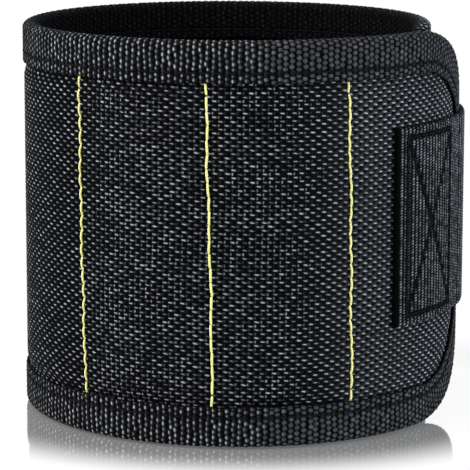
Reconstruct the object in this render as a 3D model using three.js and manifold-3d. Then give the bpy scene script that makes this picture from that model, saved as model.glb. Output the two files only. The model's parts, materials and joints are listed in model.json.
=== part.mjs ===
// A padded wristband that holds screws and bits by magnets sewn into it.
// It stands on its edge, rolled shut: the flap lies over the tucked inner end, and a strap holds it.
// Each piece is shaped flat, as it is cut and sewn, and then bent round the roll. Millimetres, +Z up.
import * as THREE from 'three';
import { mergeVertices } from 'three/addons/utils/BufferGeometryUtils.js';
import Module from 'manifold-3d';

// The band, measured flat along its outer skin from the front centre line, positive towards the flap
const bandHeight = 90;
const flapReach = 82;
const flapCorner = 36;
const innerCorner = 14;
const frontRadius = 50.5;
const tuckLength = 21;
const innerEndLength = 57;
const backLength = 32;

// Seams that part the magnet columns, where the front folds
const firstSeam = 25.2;
const frontSeamPitch = 32;
const backSeamSetback = 34.5;
const frontColumns = 2;
const columnCount = 4;
const hingeGap = 0.4;

// Magnets and their pockets
const magnetLength = 20;
const magnetWidth = 10;
const magnetThickness = 2;
const magnetRows = 3;
const magnetRowPitch = 22;
const pocketClearance = 0.3;
const magnetCover = 0.35;

// Layers of the wall, from the outer skin inwards
const coverThickness = 0.9;
const layerGap = 0.3;
const padFloor = 0.95;
const columnCrown = 0.5;
const rimPinchOutside = 0.4;
const rimPinchInside = 2.2;
const pinchSlope = 3;
const wrapClearance = 1.5;

// Binding tape folded over the edges
const bindingWidth = 9.4;
const bindingThickness = 0.6;
const bindingCrest = 1.6;
const rimFlat = 1.8;
const edgeClearance = 0.3;

// Strap, hook tape and loop patch
const strapWidth = 45;
const strapLift = 1.9;
const strapThickness = 1;
const strapStart = 36;
const strapReach = 52;
const strapCorner = 9;
const strapSeat = 0.3;
const strapDropLength = 17;
const foldSetback = 1.2;
const hookThickness = 1;
const hookMargin = 2;
const hookTipMargin = 7;
const patchThickness = 1;
const patchMargin = 2;
const patchSeat = 0.2;
const patchLead = 6;
const closureGap = 0.3;

// Yellow seam thread
const threadWidth = 0.8;
const threadHeight = 0.4;
const threadSetback = 0.9;
const threadSeat = 0.1;

// Facets
const facetLength = 8.2;
const strapFacetLength = 4.8;
const cornerSteps = 8;
const crestSteps = 2;

// What follows from them
const liningThickness = magnetCover + magnetThickness + pocketClearance + padFloor;
const wall = coverThickness + layerGap + liningThickness;
const bindingOutside = rimPinchOutside - layerGap - bindingThickness;
const bindingInside = wall - rimPinchInside + layerGap + bindingThickness;
const rollPitch = wall - bindingOutside + wrapClearance;
const growth = rollPitch / (2 * Math.PI);
const innerEnd = onInnerTurn(flapReach) - tuckLength;
const innerFold = innerEnd + innerEndLength;
const backFold = innerFold + backLength;
const sideRun = firstSeam - frontColumns * frontSeamPitch - backSeamSetback - backFold;
const sideSeamPitch = sideRun / (columnCount - frontColumns);
const seams = Array.from({ length: columnCount + 1 }, (_, i) => {
  const inFront = Math.min(i, frontColumns);
  return firstSeam - inFront * frontSeamPitch - (i - inFront) * sideSeamPitch;
});
const middle = bandHeight / 2;
const rimInset = bindingThickness + edgeClearance;
const strapFold = flapReach + foldSetback;
const strapTip = flapReach + strapReach;

const wasm = await Module();
wasm.setup();

const finishes = {
  cover: { color: 0x1b1c1f, roughness: 0.78, metalness: 0 },
  binding: { color: 0x121214, roughness: 0.85, metalness: 0 },
  lining: { color: 0x232427, roughness: 0.92, metalness: 0 },
  webbing: { color: 0x141416, roughness: 0.8, metalness: 0 },
  hook: { color: 0x0f0f11, roughness: 0.7, metalness: 0 },
  loop: { color: 0x17171a, roughness: 0.98, metalness: 0 },
  magnet: { color: 0xc3c6ca, roughness: 0.25, metalness: 1 },
  thread: { color: 0xf3ea72, roughness: 0.6, metalness: 0 },
};

function piece(name, finish, geometry) {
  const mesh = new THREE.Mesh(geometry, new THREE.MeshStandardMaterial(finishes[finish]));
  mesh.name = name;
  return mesh;
}

// The roll: a spiral whose radius grows by rollPitch in a full turn
function turnAt(along) {
  return (Math.sqrt(frontRadius ** 2 + 2 * growth * along) - frontRadius) / growth;
}

// The place on the inner turn that lies under a place on the outer one
function onInnerTurn(along) {
  const turn = turnAt(along) - 2 * Math.PI;
  return frontRadius * turn + (growth * turn ** 2) / 2;
}

function wrapped(along, height, depth) {
  const turn = turnAt(along);
  const radius = frontRadius + growth * turn - depth;
  return new THREE.Vector3(radius * Math.sin(turn), -radius * Math.cos(turn), height);
}

// A closed shape with shared corners, each point moved to where place puts it
function bent(geometry, place) {
  geometry.deleteAttribute('normal');
  geometry.deleteAttribute('uv');
  const shared = mergeVertices(geometry);
  const points = shared.getAttribute('position');
  const point = new THREE.Vector3();
  for (let i = 0; i < points.count; i += 1) {
    point.fromBufferAttribute(points, i);
    const { x, y, z } = place(point);
    points.setXYZ(i, x, y, z);
  }
  shared.computeVertexNormals();
  return shared;
}

// A slab over a grid of stations along the band and rows up it, with its outer and inner depths
function slab(stations, rowCount, rowHeight, outerDepth, innerDepth) {
  const columns = stations.length - 1;
  const box = new THREE.BoxGeometry(columns, 1, rowCount - 1, columns, 1, rowCount - 1);
  return bent(box, ({ x, y, z }) => {
    const station = stations[Math.round(x + columns / 2)];
    const height = rowHeight(station, Math.round(z + (rowCount - 1) / 2));
    const depth = y < 0 ? outerDepth : innerDepth;
    return wrapped(station.along, height, depth(station.along, height));
  });
}

function solid(geometry) {
  const plain = geometry.clone();
  plain.deleteAttribute('normal');
  if (plain.getAttribute('uv')) plain.deleteAttribute('uv');
  const shared = mergeVertices(plain);
  const vertProperties = new Float32Array(shared.getAttribute('position').array);
  const triVerts = new Uint32Array(shared.getIndex().array);
  return new wasm.Manifold(new wasm.Mesh({ numProp: 3, vertProperties, triVerts }));
}

function cut(geometry, tools) {
  let body = solid(geometry);
  for (const tool of tools) body = body.subtract(solid(tool));
  const { vertProperties, triVerts } = body.getMesh();
  const result = new THREE.BufferGeometry();
  result.setAttribute('position', new THREE.BufferAttribute(new Float32Array(vertProperties), 3));
  result.setIndex(new THREE.BufferAttribute(new Uint32Array(triVerts), 1));
  result.computeVertexNormals();
  return result;
}

function spread(from, to, longest = facetLength) {
  const steps = Math.ceil(Math.abs(to - from) / longest);
  return Array.from({ length: steps + 1 }, (_, i) => from + ((to - from) * i) / steps);
}

const quarterTurn = Array.from({ length: cornerSteps + 1 }, (_, i) => (i / cornerSteps) * (Math.PI / 2));

// Each stretch of the band runs between two lines along it. One that ends the band has round corners.
const foldLines = {
  flap: seams[0],
  frontRight: seams[1],
  frontLeft: seams[2],
  back: backFold,
  innerEnd: innerFold,
};
const stretches = {
  flap: { from: foldLines.flap, to: flapReach, corner: flapCorner },
  front_right: { from: foldLines.frontRight, to: foldLines.flap },
  front_left: { from: foldLines.frontLeft, to: foldLines.frontRight },
  left: { from: foldLines.back, to: foldLines.frontLeft },
  back: { from: foldLines.innerEnd, to: foldLines.back },
  inner_end: { from: foldLines.innerEnd, to: innerEnd, corner: innerCorner },
};

// How far a point of the band lies inside its outline
function edgeDistance(along, height) {
  const fromEdge = Math.min(height, bandHeight - height);
  const fromEnd = along > 0 ? flapReach - along : along - innerEnd;
  const corner = along > 0 ? flapCorner : innerCorner;
  if (fromEnd < corner && fromEdge < corner) {
    return corner - Math.hypot(corner - fromEnd, corner - fromEdge);
  }
  return Math.min(fromEdge, fromEnd);
}

// 1 where the binding pinches the layers together, 0 where the padding is full
function pinchAt(along, height) {
  return 1 - THREE.MathUtils.smoothstep(edgeDistance(along, height) - bindingWidth, 0, pinchSlope);
}

function crownAt(along) {
  const column = seams.findIndex((seam, i) => along < seam && along > seams[i + 1]);
  if (column < 0) return 0;
  const width = seams[column] - seams[column + 1];
  return columnCrown * Math.sin((Math.PI * (seams[column] - along)) / width);
}

function skinDepth(along, height) {
  const pinch = pinchAt(along, height);
  return rimPinchOutside * pinch - crownAt(along) * (1 - pinch);
}

// Stations along a stretch's layers, closer together round a corner and at the binding's inner edge.
// An angle this close to such an edge, in radians, gives way to it.
const sameStation = 0.06;

function cornerAngles(corner) {
  const reach = corner - rimInset;
  const bindingEdge = corner - bindingWidth;
  const edges = [bindingEdge - pinchSlope, bindingEdge].map((over) => Math.asin(over / reach));
  const apart = (angle) => edges.every((edge) => Math.abs(angle - edge) > sameStation);
  return [...quarterTurn.filter(apart), ...edges];
}

function layerStations({ from, to, corner }) {
  const side = Math.sign(to - from);
  if (!corner) return spread(from + hingeGap / 2, to - hingeGap / 2);
  const start = to - side * corner;
  const straight = spread(from + (side * hingeGap) / 2, start).slice(0, -1);
  const round = cornerAngles(corner).map((angle) => start + side * (corner - rimInset) * Math.sin(angle));
  return [...straight, ...round].sort((a, b) => a - b);
}

// Rows keep to lines inside the outline: the layer's edge, the binding's edge and the full padding
const rowInsets = [rimInset, bindingWidth, bindingWidth + pinchSlope];
const leastRowStep = 1;

function insetHeight(along, inset) {
  const fromEnd = along > 0 ? flapReach - along : along - innerEnd;
  const corner = along > 0 ? flapCorner : innerCorner;
  const over = corner - fromEnd;
  if (over <= 0) return inset;
  return corner - Math.sqrt(Math.max(0, (corner - inset) ** 2 - over ** 2));
}

function layerRow({ along }, row) {
  const last = 2 * rowInsets.length - 1;
  if (row >= rowInsets.length) return bandHeight - layerRow({ along }, last - row);
  const height = insetHeight(along, rowInsets[row]);
  return row ? Math.max(height, layerRow({ along }, row - 1) + leastRowStep) : height;
}

function layer(stretch, outerDepth, innerDepth) {
  const stations = layerStations(stretch).map((along) => ({ along }));
  return slab(stations, 2 * rowInsets.length, layerRow, outerDepth, innerDepth);
}

function outerCover(stretch) {
  return layer(stretch, skinDepth, (along, height) => skinDepth(along, height) + coverThickness);
}

function paddedLining(stretch, pockets) {
  const outside = (along, height) => skinDepth(along, height) + coverThickness + layerGap;
  const inside = (along, height) => wall - rimPinchInside * pinchAt(along, height);
  const pad = layer(stretch, outside, inside);
  return pockets.length ? cut(pad, pockets) : pad;
}

// Magnets lie flat under the cover, in rows down the middle of each column
function magnetSeats({ from, to }) {
  const seats = [];
  for (let column = 0; column < columnCount; column += 1) {
    const along = (seams[column] + seams[column + 1]) / 2;
    for (let row = 0; row < magnetRows; row += 1) {
      const height = middle + (row - (magnetRows - 1) / 2) * magnetRowPitch;
      const name = `magnet_${column + 1}_${row + 1}`;
      if (along > from && along < to) seats.push({ name, along, height });
    }
  }
  return seats;
}

const magnetDepth = coverThickness + layerGap + magnetCover;

function seated(geometry, { along, height }, depth) {
  return geometry
    .rotateZ(turnAt(along))
    .translate(...wrapped(along, height, depth).toArray());
}

function magnet(seat) {
  const block = new THREE.BoxGeometry(magnetWidth, magnetThickness, magnetLength);
  return piece(seat.name, 'magnet', seated(block, seat, magnetDepth + magnetThickness / 2));
}

// A pocket is open towards the cover, past the lining's crowned outer face
function magnetPocket(seat) {
  const mouth = -columnCrown;
  const floor = magnetDepth + magnetThickness + pocketClearance;
  const room = 2 * pocketClearance;
  const box = new THREE.BoxGeometry(magnetWidth + room, floor - mouth, magnetLength + room);
  return seated(box, seat, (mouth + floor) / 2);
}

// The binding's section: x is the depth from the outer skin, y the distance in from the edge
function bindingSection() {
  const centre = (bindingOutside + bindingInside) / 2;
  const face = (inset) => {
    const half = (bindingInside - bindingOutside) / 2 - inset;
    const flat = rimFlat / 2;
    const outward = [[-half, bindingWidth], [-half, (bindingWidth + bindingCrest) / 2]];
    for (let i = 0; i <= crestSteps; i += 1) {
      const angle = (i / crestSteps) * (Math.PI / 2);
      const across = flat + (half - flat) * Math.cos(angle);
      outward.push([-across, bindingCrest - (bindingCrest - inset) * Math.sin(angle)]);
    }
    const inward = outward.map(([x, y]) => [-x, y]).reverse();
    return [...outward, ...inward].map(([x, y]) => new THREE.Vector2(centre + x, y));
  };
  return new THREE.Shape([...face(0), ...face(bindingThickness).reverse()]);
}

// Points along an edge, each with the direction that leads into the band
function straightEdge(from, to, height, into) {
  return spread(from, to).map((along) => ({ along, height, into: [0, into] }));
}

function roundEnd({ from, to, corner }) {
  const side = Math.sign(to - from);
  const start = to - side * corner;
  const flip = (height) => (side > 0 ? height : bandHeight - height);
  const lower = spread(from + (side * hingeGap) / 2, start).slice(0, -1);
  const arc = (angle, top) => ({
    along: start + side * corner * Math.sin(angle),
    height: flip(top ? bandHeight - corner + corner * Math.cos(angle) : corner - corner * Math.cos(angle)),
    into: [-side * Math.sin(angle), side * (top ? -Math.cos(angle) : Math.cos(angle))],
  });
  return [
    ...lower.map((along) => ({ along, height: flip(0), into: [0, side] })),
    ...quarterTurn.map((angle) => arc(angle, false)),
    ...quarterTurn.map((angle) => arc(angle, true)).reverse(),
    ...lower.reverse().map((along) => ({ along, height: flip(bandHeight), into: [0, -side] })),
  ];
}

function binding(path) {
  const steps = path.length - 1;
  const tape = new THREE.ExtrudeGeometry(bindingSection(), { depth: steps, steps, bevelEnabled: false });
  return bent(tape, ({ x, y, z }) => {
    const { along, height, into } = path[Math.round(z)];
    return wrapped(along + y * into[0], height + y * into[1], x);
  });
}

// A line of thread along a seam, on the cover just beside the fold
function seamThread(number) {
  const along = seams[number - 1] - threadSetback;
  const edge = bindingWidth + threadSeat;
  const heights = [edge, edge + pinchSlope, bandHeight - edge - pinchSlope, bandHeight - edge];
  const stations = [along - threadWidth / 2, along + threadWidth / 2].map((place) => ({ along: place }));
  const under = (place, height) => skinDepth(place, height) - threadSeat;
  const over = (place, height) => under(place, height) - threadHeight;
  const strip = slab(stations, heights.length, (_, row) => heights[row], over, under);
  return piece(`magnet_seam_${number}`, 'thread', strip);
}

// Depth of the strap's underside: on the flap, up over the end binding, then down to the loop patch
const strapOnFlap = -strapSeat;
const strapOverBinding = bindingOutside - strapSeat;
const patchFace = rollPitch - patchSeat - patchThickness;
const hookFace = patchFace - closureGap;
const strapOnPatch = hookFace - hookThickness - patchSeat;

// Where the strap starts and ends its climb: before the binding's edge under the strap's own edges
const strapMargin = (bandHeight - strapWidth) / 2 - Math.abs(strapLift);
const strapIntoCorner = Math.max(0, flapCorner - strapMargin);
const bindingEdge = Math.sqrt((flapCorner - bindingWidth) ** 2 - strapIntoCorner ** 2);
const climbEnd = flapReach - flapCorner + bindingEdge - strapSeat;
const climbStart = climbEnd - pinchSlope;

function strapUnderside(along) {
  const lift = THREE.MathUtils.smoothstep(along, climbStart, climbEnd);
  const drop = THREE.MathUtils.smoothstep(along, strapFold, strapFold + strapDropLength);
  const onFlap = THREE.MathUtils.lerp(strapOnFlap, strapOverBinding, lift);
  return THREE.MathUtils.lerp(onFlap, strapOnPatch, drop);
}

function strapFaceDepth(along) {
  return strapUnderside(along) - strapThickness;
}

// A flat strip round the band at the strap's height, on stations with half its width at each
function strip(stations, outerDepth, innerDepth) {
  const edge = ({ half }, row) => middle + strapLift + (row ? half : -half);
  return slab(stations, 2, edge, outerDepth, innerDepth);
}

function evenStations(alongs, width) {
  return alongs.map((along) => ({ along, half: width / 2 }));
}

function strapAnchor() {
  const onFlap = spread(strapStart, climbStart, strapFacetLength);
  const overBinding = spread(climbEnd, strapFold - hingeGap / 2, strapFacetLength);
  return strip(evenStations([...onFlap, ...overBinding], strapWidth), strapFaceDepth, strapUnderside);
}

function strapTongue() {
  const cornerStart = strapTip - strapCorner;
  const alongs = spread(strapFold + hingeGap / 2, cornerStart, strapFacetLength);
  const tip = quarterTurn.slice(1).map((angle) => ({
    along: cornerStart + strapCorner * Math.sin(angle),
    half: strapWidth / 2 - strapCorner + strapCorner * Math.cos(angle),
  }));
  return strip([...evenStations(alongs, strapWidth), ...tip], strapFaceDepth, strapUnderside);
}

function hookTape() {
  const from = strapFold + strapDropLength;
  const outside = (along) => strapUnderside(along) + patchSeat;
  const inside = (along) => outside(along) + hookThickness;
  const alongs = spread(from, strapTip - hookTipMargin, strapFacetLength);
  return strip(evenStations(alongs, strapWidth - 2 * hookMargin), outside, inside);
}

function loopPatch(from, to) {
  const width = strapWidth + 2 * patchMargin;
  const inside = () => -patchSeat;
  const outside = () => -patchSeat - patchThickness;
  return strip(evenStations(spread(from, to), width), outside, inside);
}

// The bodies that fold against each other, from the flap round to the tucked inner end
function bandBody(name) {
  const stretch = stretches[name];
  const seats = magnetSeats(stretch);
  const body = new THREE.Group();
  body.name = `band_${name}`;
  body.add(piece(`outer_cover_${name}`, 'cover', outerCover(stretch)));
  body.add(piece(`padded_lining_${name}`, 'lining', paddedLining(stretch, seats.map(magnetPocket))));
  if (stretch.corner) {
    body.add(piece(`edge_binding_${name}`, 'binding', binding(roundEnd(stretch))));
  } else {
    const from = stretch.from + hingeGap / 2;
    const to = stretch.to - hingeGap / 2;
    body.add(piece(`bottom_binding_${name}`, 'binding', binding(straightEdge(from, to, 0, 1))));
    body.add(piece(`top_binding_${name}`, 'binding', binding(straightEdge(to, from, bandHeight, -1))));
  }
  for (const seat of seats) body.add(magnet(seat));
  for (let number = 1; number <= columnCount + 1; number += 1) {
    const along = seams[number - 1];
    if (along > stretch.from && along <= stretch.to) body.add(seamThread(number));
  }
  return body;
}

const wristband = new THREE.Group();
wristband.name = 'magnetic_wristband';
const bodies = Object.fromEntries(Object.keys(stretches).map((name) => [name, bandBody(name)]));
wristband.add(...Object.values(bodies));

bodies.flap.add(piece('strap_anchor', 'webbing', strapAnchor()));
const tongue = new THREE.Group();
tongue.name = 'strap_tongue_body';
tongue.add(piece('strap_tongue', 'webbing', strapTongue()));
tongue.add(piece('hook_tape', 'hook', hookTape()));
wristband.add(tongue);

const patchStart = onInnerTurn(strapFold + strapDropLength - patchLead);
const fold = foldLines.innerEnd;
bodies.inner_end.add(piece('loop_patch_inner_end', 'loop', loopPatch(patchStart, fold - hingeGap / 2)));
const patchEnd = foldLines.back - hingeGap / 2;
bodies.back.add(piece('loop_patch_back', 'loop', loopPatch(fold + hingeGap / 2, patchEnd)));

// The origin is under the middle of the roll
const bounds = new THREE.Box3().setFromObject(wristband);
const centre = bounds.getCenter(new THREE.Vector3());
wristband.position.set(-centre.x, -centre.y, -bounds.min.z);

// Upright fold axes: outside the skin where the band opens outwards, inside the lining where it draws in
const axisClearance = 0.1;
const foldOutside = bindingOutside - 2 * axisClearance;
const foldInside = wall + axisClearance;
const foldOnStrap = strapFaceDepth(strapFold) - axisClearance;
const axisAt = (along, depth) => wrapped(along, 0, depth).add(wristband.position);
wristband.userData.folds = {
  front_left_fold: axisAt(foldLines.frontLeft, foldOutside),
  front_right_fold: axisAt(foldLines.frontRight, foldOutside),
  flap_fold: axisAt(foldLines.flap, foldOutside),
  strap_peel: axisAt(strapFold, foldOnStrap),
  back_tighten: axisAt(foldLines.back, foldInside),
  inner_end_tighten: axisAt(foldLines.innerEnd, foldInside),
};

export default wristband;
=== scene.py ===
# %% [markdown]
# # A magnetic wristband, cut flat and rolled shut
#
# The real band is cloth, padding and tape, sewn flat on a table and then rolled round a wrist.
# This lesson works the same way. Each piece is laid out flat in millimetres, with its weave, its
# ribs and its stitches on it, and one Geometry Nodes tree then rolls it up.

# %% Load the frame
import json
import math
from collections import namedtuple

import bmesh
import bpy
import numpy as np
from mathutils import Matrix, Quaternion, Vector


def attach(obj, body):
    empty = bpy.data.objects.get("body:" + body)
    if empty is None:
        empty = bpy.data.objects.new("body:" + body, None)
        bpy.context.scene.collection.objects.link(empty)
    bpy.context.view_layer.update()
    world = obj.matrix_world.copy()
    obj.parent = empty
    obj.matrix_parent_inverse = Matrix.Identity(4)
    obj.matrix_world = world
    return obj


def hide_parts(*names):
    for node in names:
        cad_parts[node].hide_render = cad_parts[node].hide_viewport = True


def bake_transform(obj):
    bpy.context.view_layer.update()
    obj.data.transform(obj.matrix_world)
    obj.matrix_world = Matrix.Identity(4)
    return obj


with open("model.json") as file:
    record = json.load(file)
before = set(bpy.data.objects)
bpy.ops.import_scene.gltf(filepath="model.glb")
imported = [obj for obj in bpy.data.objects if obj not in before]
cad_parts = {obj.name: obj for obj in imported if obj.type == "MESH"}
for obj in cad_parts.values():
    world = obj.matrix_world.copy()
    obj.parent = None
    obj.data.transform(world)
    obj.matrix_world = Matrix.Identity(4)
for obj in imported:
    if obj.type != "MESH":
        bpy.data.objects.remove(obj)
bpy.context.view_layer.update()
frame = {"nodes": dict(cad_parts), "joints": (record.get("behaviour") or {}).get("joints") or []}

# %% [markdown]
# ## The flat band
#
# A place on the flat band has three numbers: how far along it lies from the front centre line,
# how deep it lies under the outer skin, and how high it lies above the lower edge. Flat, these are
# X, Y and Z. The rolled band is a spiral, because the flap has to lie over the tucked inner end.

# %% Sizes of the flat band, in millimetres
MM = 0.001
BAND_HEIGHT = 90.0
MIDDLE = BAND_HEIGHT / 2
FLAP_REACH = 82.0
FLAP_CORNER = 36.0
INNER_CORNER = 14.0
TUCK_LENGTH = 21.0
FRONT_RADIUS = 50.5
ROLL_PITCH = 6.8
GROWTH = ROLL_PITCH / (2 * math.pi)


def turn_at(along):
    """The angle round the roll, from the front centre line, of a place along the band."""
    return (np.sqrt(FRONT_RADIUS**2 + 2 * GROWTH * along) - FRONT_RADIUS) / GROWTH


def along_at(turn):
    """The place along the band at an angle round the roll."""
    return FRONT_RADIUS * turn + GROWTH * turn**2 / 2


def from_axis(along, depth):
    """A place's offset from the roll's axis, seen from above."""
    turn = turn_at(along)
    radius = FRONT_RADIUS + GROWTH * turn - depth
    return np.array((radius * np.sin(turn), -radius * np.cos(turn)))


INNER_END = along_at(turn_at(FLAP_REACH) - 2 * math.pi) - TUCK_LENGTH
print("band length", round(FLAP_REACH - INNER_END, 1), "mm")

# %% [markdown]
# The hinges in the frame say where the folds are. The one on the second seam fixes the roll's axis,
# and the places of the others along the band follow from their angles round that axis.

# %% The roll's axis and the folds
SECOND_SEAM = -6.8
FOLD_AXIS_DEPTH = -0.7
hinges = {joint["name"]: np.array(joint["pos_m"][:2]) / MM for joint in frame["joints"]}
ROLL_AXIS = hinges["front_right_fold"] - from_axis(SECOND_SEAM, FOLD_AXIS_DEPTH)


def rolled(along, depth, height):
    """Where a flat place lies on the rolled band, in metres."""
    x, y = (from_axis(along, depth) + ROLL_AXIS) * MM
    return Vector((x, y, height * MM))


def fold_at(joint, inner_turn=False):
    """The place along the band of a fold, from where its hinge is in the frame."""
    x, y = hinges[joint] - ROLL_AXIS
    return along_at(math.atan2(x, -y) - (2 * math.pi if inner_turn else 0))


folds = {
    "flap": fold_at("flap_fold"),
    "front_right": fold_at("front_right_fold"),
    "front_left": fold_at("front_left_fold"),
    "strap": fold_at("strap_peel"),
    "back": fold_at("back_tighten", inner_turn=True),
    "inner_end": fold_at("inner_end_tighten", inner_turn=True),
}
print("folds at", {name: round(float(place), 1) for name, place in folds.items()})

# %% [markdown]
# ## The seams
#
# Five seams part four columns of magnets. The first three lie on the folds in front. The other two
# share out the left side, and stop well before the back wall starts to bend.

# %% Places of the seams
BACK_SEAM_SETBACK = 34.5
SIDE_COLUMNS = 2
side_pitch = (folds["front_left"] - folds["back"] - BACK_SEAM_SETBACK) / SIDE_COLUMNS
seams = [folds["flap"], folds["front_right"]]
seams += [folds["front_left"] - number * side_pitch for number in range(SIDE_COLUMNS + 1)]
magnet_columns = list(zip(seams, seams[1:]))
print("seams at", [round(float(seam), 1) for seam in seams])

# %% [markdown]
# ## The wall of the band
#
# The wall is a woven cover, a layer of padding with its mesh lining, and tape folded over the
# edges. All three follow the band's outline, which is a long strip with larger corners at the flap
# than at the tucked end. These functions measure how far inside it a place lies.

# %% The band's outline
def band_end(along):
    """How far a place lies from the band's nearer end, and that end's corner radius."""
    on_flap = along > 0
    from_end = np.where(on_flap, FLAP_REACH - along, along - INNER_END)
    return from_end, np.where(on_flap, FLAP_CORNER, INNER_CORNER)


def edge_distance(along, height):
    """How far a place lies inside the band's outline."""
    from_edge = np.minimum(height, BAND_HEIGHT - height)
    from_end, corner = band_end(along)
    in_corner = (from_end < corner) & (from_edge < corner)
    rounded = corner - np.hypot(corner - from_end, corner - from_edge)
    return np.where(in_corner, rounded, np.minimum(from_edge, from_end))


def inset_height(along, inset):
    """The height of a line that runs that far inside the lower outline."""
    from_end, corner = band_end(along)
    over = np.clip(corner - from_end, 0, None)
    return corner - np.sqrt(np.clip((corner - inset) ** 2 - over**2, 0, None))


print("the middle of the band lies", float(edge_distance(0.0, MIDDLE)), "mm inside its outline")

# %% [markdown]
# Tape and stitches pinch the padding thin along the edges, and each magnet column between two seams
# stands out a little. These functions give the depth of the skin at any place, and the cover, the
# lining and the yellow seams take their place from them.

# %% Depth of the skin
COLUMN_CROWN = 0.5
RIM_PINCH_OUTSIDE = 0.4
PINCH_SLOPE = 3.0
BINDING_WIDTH = 9.4


def smooth(x):
    """An S-shaped step from 0 to 1."""
    x = np.clip(x, 0, 1)
    return x * x * (3 - 2 * x)


def pinch_at(along, height):
    """How strongly the tape pinches the wall, from 1 under it to 0 a little way in."""
    return 1 - smooth((edge_distance(along, height) - BINDING_WIDTH) / PINCH_SLOPE)


def crown_at(along):
    """How far the column at a place stands out, from 0 at its two seams to 1 between them."""
    crown = np.zeros(np.shape(along))
    for right, left in magnet_columns:
        share = np.clip((right - along) / (right - left), 0, 1)
        crown = crown + np.sin(math.pi * share)
    return crown


def skin_depth(along, height):
    """The depth of the outer skin, which is negative where a column stands out."""
    pinch = pinch_at(along, height)
    return RIM_PINCH_OUTSIDE * pinch - COLUMN_CROWN * crown_at(along) * (1 - pinch)


print("the skin lies between", -COLUMN_CROWN, "and", RIM_PINCH_OUTSIDE, "mm of the flat plane")

# %% [markdown]
# ## Stretches across the folds
#
# The cloth runs on across every fold, so a piece that ended at a hinge would tear open there. Each
# layer is cut well away from the folds instead, and a stretch with a fold in it is one piece that rides
# on no body. The solids are parted at the folds, so such a stretch stands for the two beside its
# fold. The weave is worked out from the place along the whole band, so it runs on across the cuts.

# %% The stretches of the band
WALL = 4.8
WARP_PITCH = 1.34
BEND_REACH = 9.0
TIGHTEN_REACH = 12.0
TIGHTEN_LEAD = 1.0
CUT_YARNS = (6, -17, -52, -102, -129)
Stretch = namedtuple("Stretch", "name low high bodies bend nodes")
cuts = [yarn * WARP_PITCH for yarn in CUT_YARNS]


def outward_bend(fold):
    """Where the cloth starts and stops bending round a fold that opens outwards."""
    return folds[fold] - BEND_REACH, folds[fold] + BEND_REACH


stretches = [
    Stretch("flap", cuts[0], FLAP_REACH, ("band_front_right", "band_flap"),
            outward_bend("flap"), ("flap", "front_right")),
    Stretch("front", cuts[1], cuts[0], ("band_front_left", "band_front_right"),
            outward_bend("front_right"), ("front_right", "front_left")),
    Stretch("front_left", cuts[2], cuts[1], ("band_left", "band_front_left"),
            outward_bend("front_left"), ("front_left", "left")),
    Stretch("left", cuts[3], cuts[2], ("band_left",), None, ("left",)),
    Stretch("back", cuts[4], cuts[3], ("band_left", "band_back"),
            (folds["back"] + TIGHTEN_REACH, folds["back"] - TIGHTEN_LEAD), ("left", "back")),
    Stretch("inner_end", INNER_END, cuts[4], ("band_back", "band_inner_end"),
            (folds["inner_end"] + BEND_REACH, folds["inner_end"] - BEND_REACH), ("back", "inner_end")),
]


def seat(piece, bodies, bend=None):
    """Lets a piece ride on one body. A piece over a fold is only baked in place, on no body, and the
    ends of its bend are worked out but not used.
    """
    if bend is None:
        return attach(piece, bodies[0])
    start, end = (rolled(along, WALL / 2, MIDDLE) for along in bend)
    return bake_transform(piece)


for stretch in stretches:
    print(stretch.name, round(stretch.low, 1), "to", round(stretch.high, 1), "mm")

# %% [markdown]
# ## Formulas as nodes
#
# A node tree that works out a formula takes one Math node for each sign in it. The small class
# here lets Python write such a formula as usual, and adds the nodes as it goes. Both the rolling
# tree and the materials are written with it.

# %% Wires: sockets that can be used in a formula
class Wire:
    """A socket of a node tree. Each operation on it adds one Math node."""

    def __init__(self, socket):
        self.socket = socket
        self.tree = socket.id_data

    def calc(self, operation, *others):
        node = self.tree.nodes.new("ShaderNodeMath")
        node.operation = operation
        for slot, value in zip(node.inputs, (self, *others)):
            plug(slot, value)
        return Wire(node.outputs[0])

    def __add__(self, other):
        return self.calc("ADD", other)

    def __sub__(self, other):
        return self.calc("SUBTRACT", other)

    def __mul__(self, other):
        return self.calc("MULTIPLY", other)

    def __truediv__(self, other):
        return self.calc("DIVIDE", other)


def plug(slot, value):
    """Links a wire to a socket, or sets the socket to a plain value."""
    if isinstance(value, Wire):
        value.tree.links.new(value.socket, slot)
    else:
        slot.default_value = value


def add(tree, kind, inputs=None, **settings):
    """A new node with its settings made and its inputs plugged."""
    node = tree.nodes.new(kind)
    for name, value in settings.items():
        setattr(node, name, value)
    for key, value in (inputs or {}).items():
        plug(node.inputs[key], value)
    return node


def out(node, key=0):
    """One of a node's outputs, as a wire."""
    return Wire(node.outputs[key])


def spot(tree, x=0.0, y=0.0, z=0.0):
    """A place, put together from three wires or numbers."""
    return out(add(tree, "ShaderNodeCombineXYZ", {0: x, 1: y, 2: z}))


print("a wire adds a Math node for each sign")

# %% [markdown]
# ## Rolling up
#
# The tree stores where each point lay on the flat cloth, as an attribute named flat, before it
# moves the point onto the spiral. Materials read that attribute later, so that a weave follows the
# cloth round the roll instead of cutting through it. Simple Deform could bend a piece too, but it
# bends to a circle, and this roll is a spiral.

# %% The tree that rolls a flat piece up
SOCKETS = {float: "NodeSocketFloat", int: "NodeSocketInt", type(None): "NodeSocketMaterial"}


def new_tree(name, sizes):
    """A Geometry Nodes tree with a geometry input, named inputs and their start values."""
    tree = bpy.data.node_groups.new(name, "GeometryNodeTree")
    tree.interface.new_socket("Geometry", in_out="INPUT", socket_type="NodeSocketGeometry")
    tree.interface.new_socket("Geometry", in_out="OUTPUT", socket_type="NodeSocketGeometry")
    for size, value in sizes.items():
        socket = tree.interface.new_socket(size, in_out="INPUT", socket_type=SOCKETS[type(value)])
        if value is not None:
            socket.default_value = value
    return tree, tree.nodes.new("NodeGroupInput"), tree.nodes.new("NodeGroupOutput")


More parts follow.
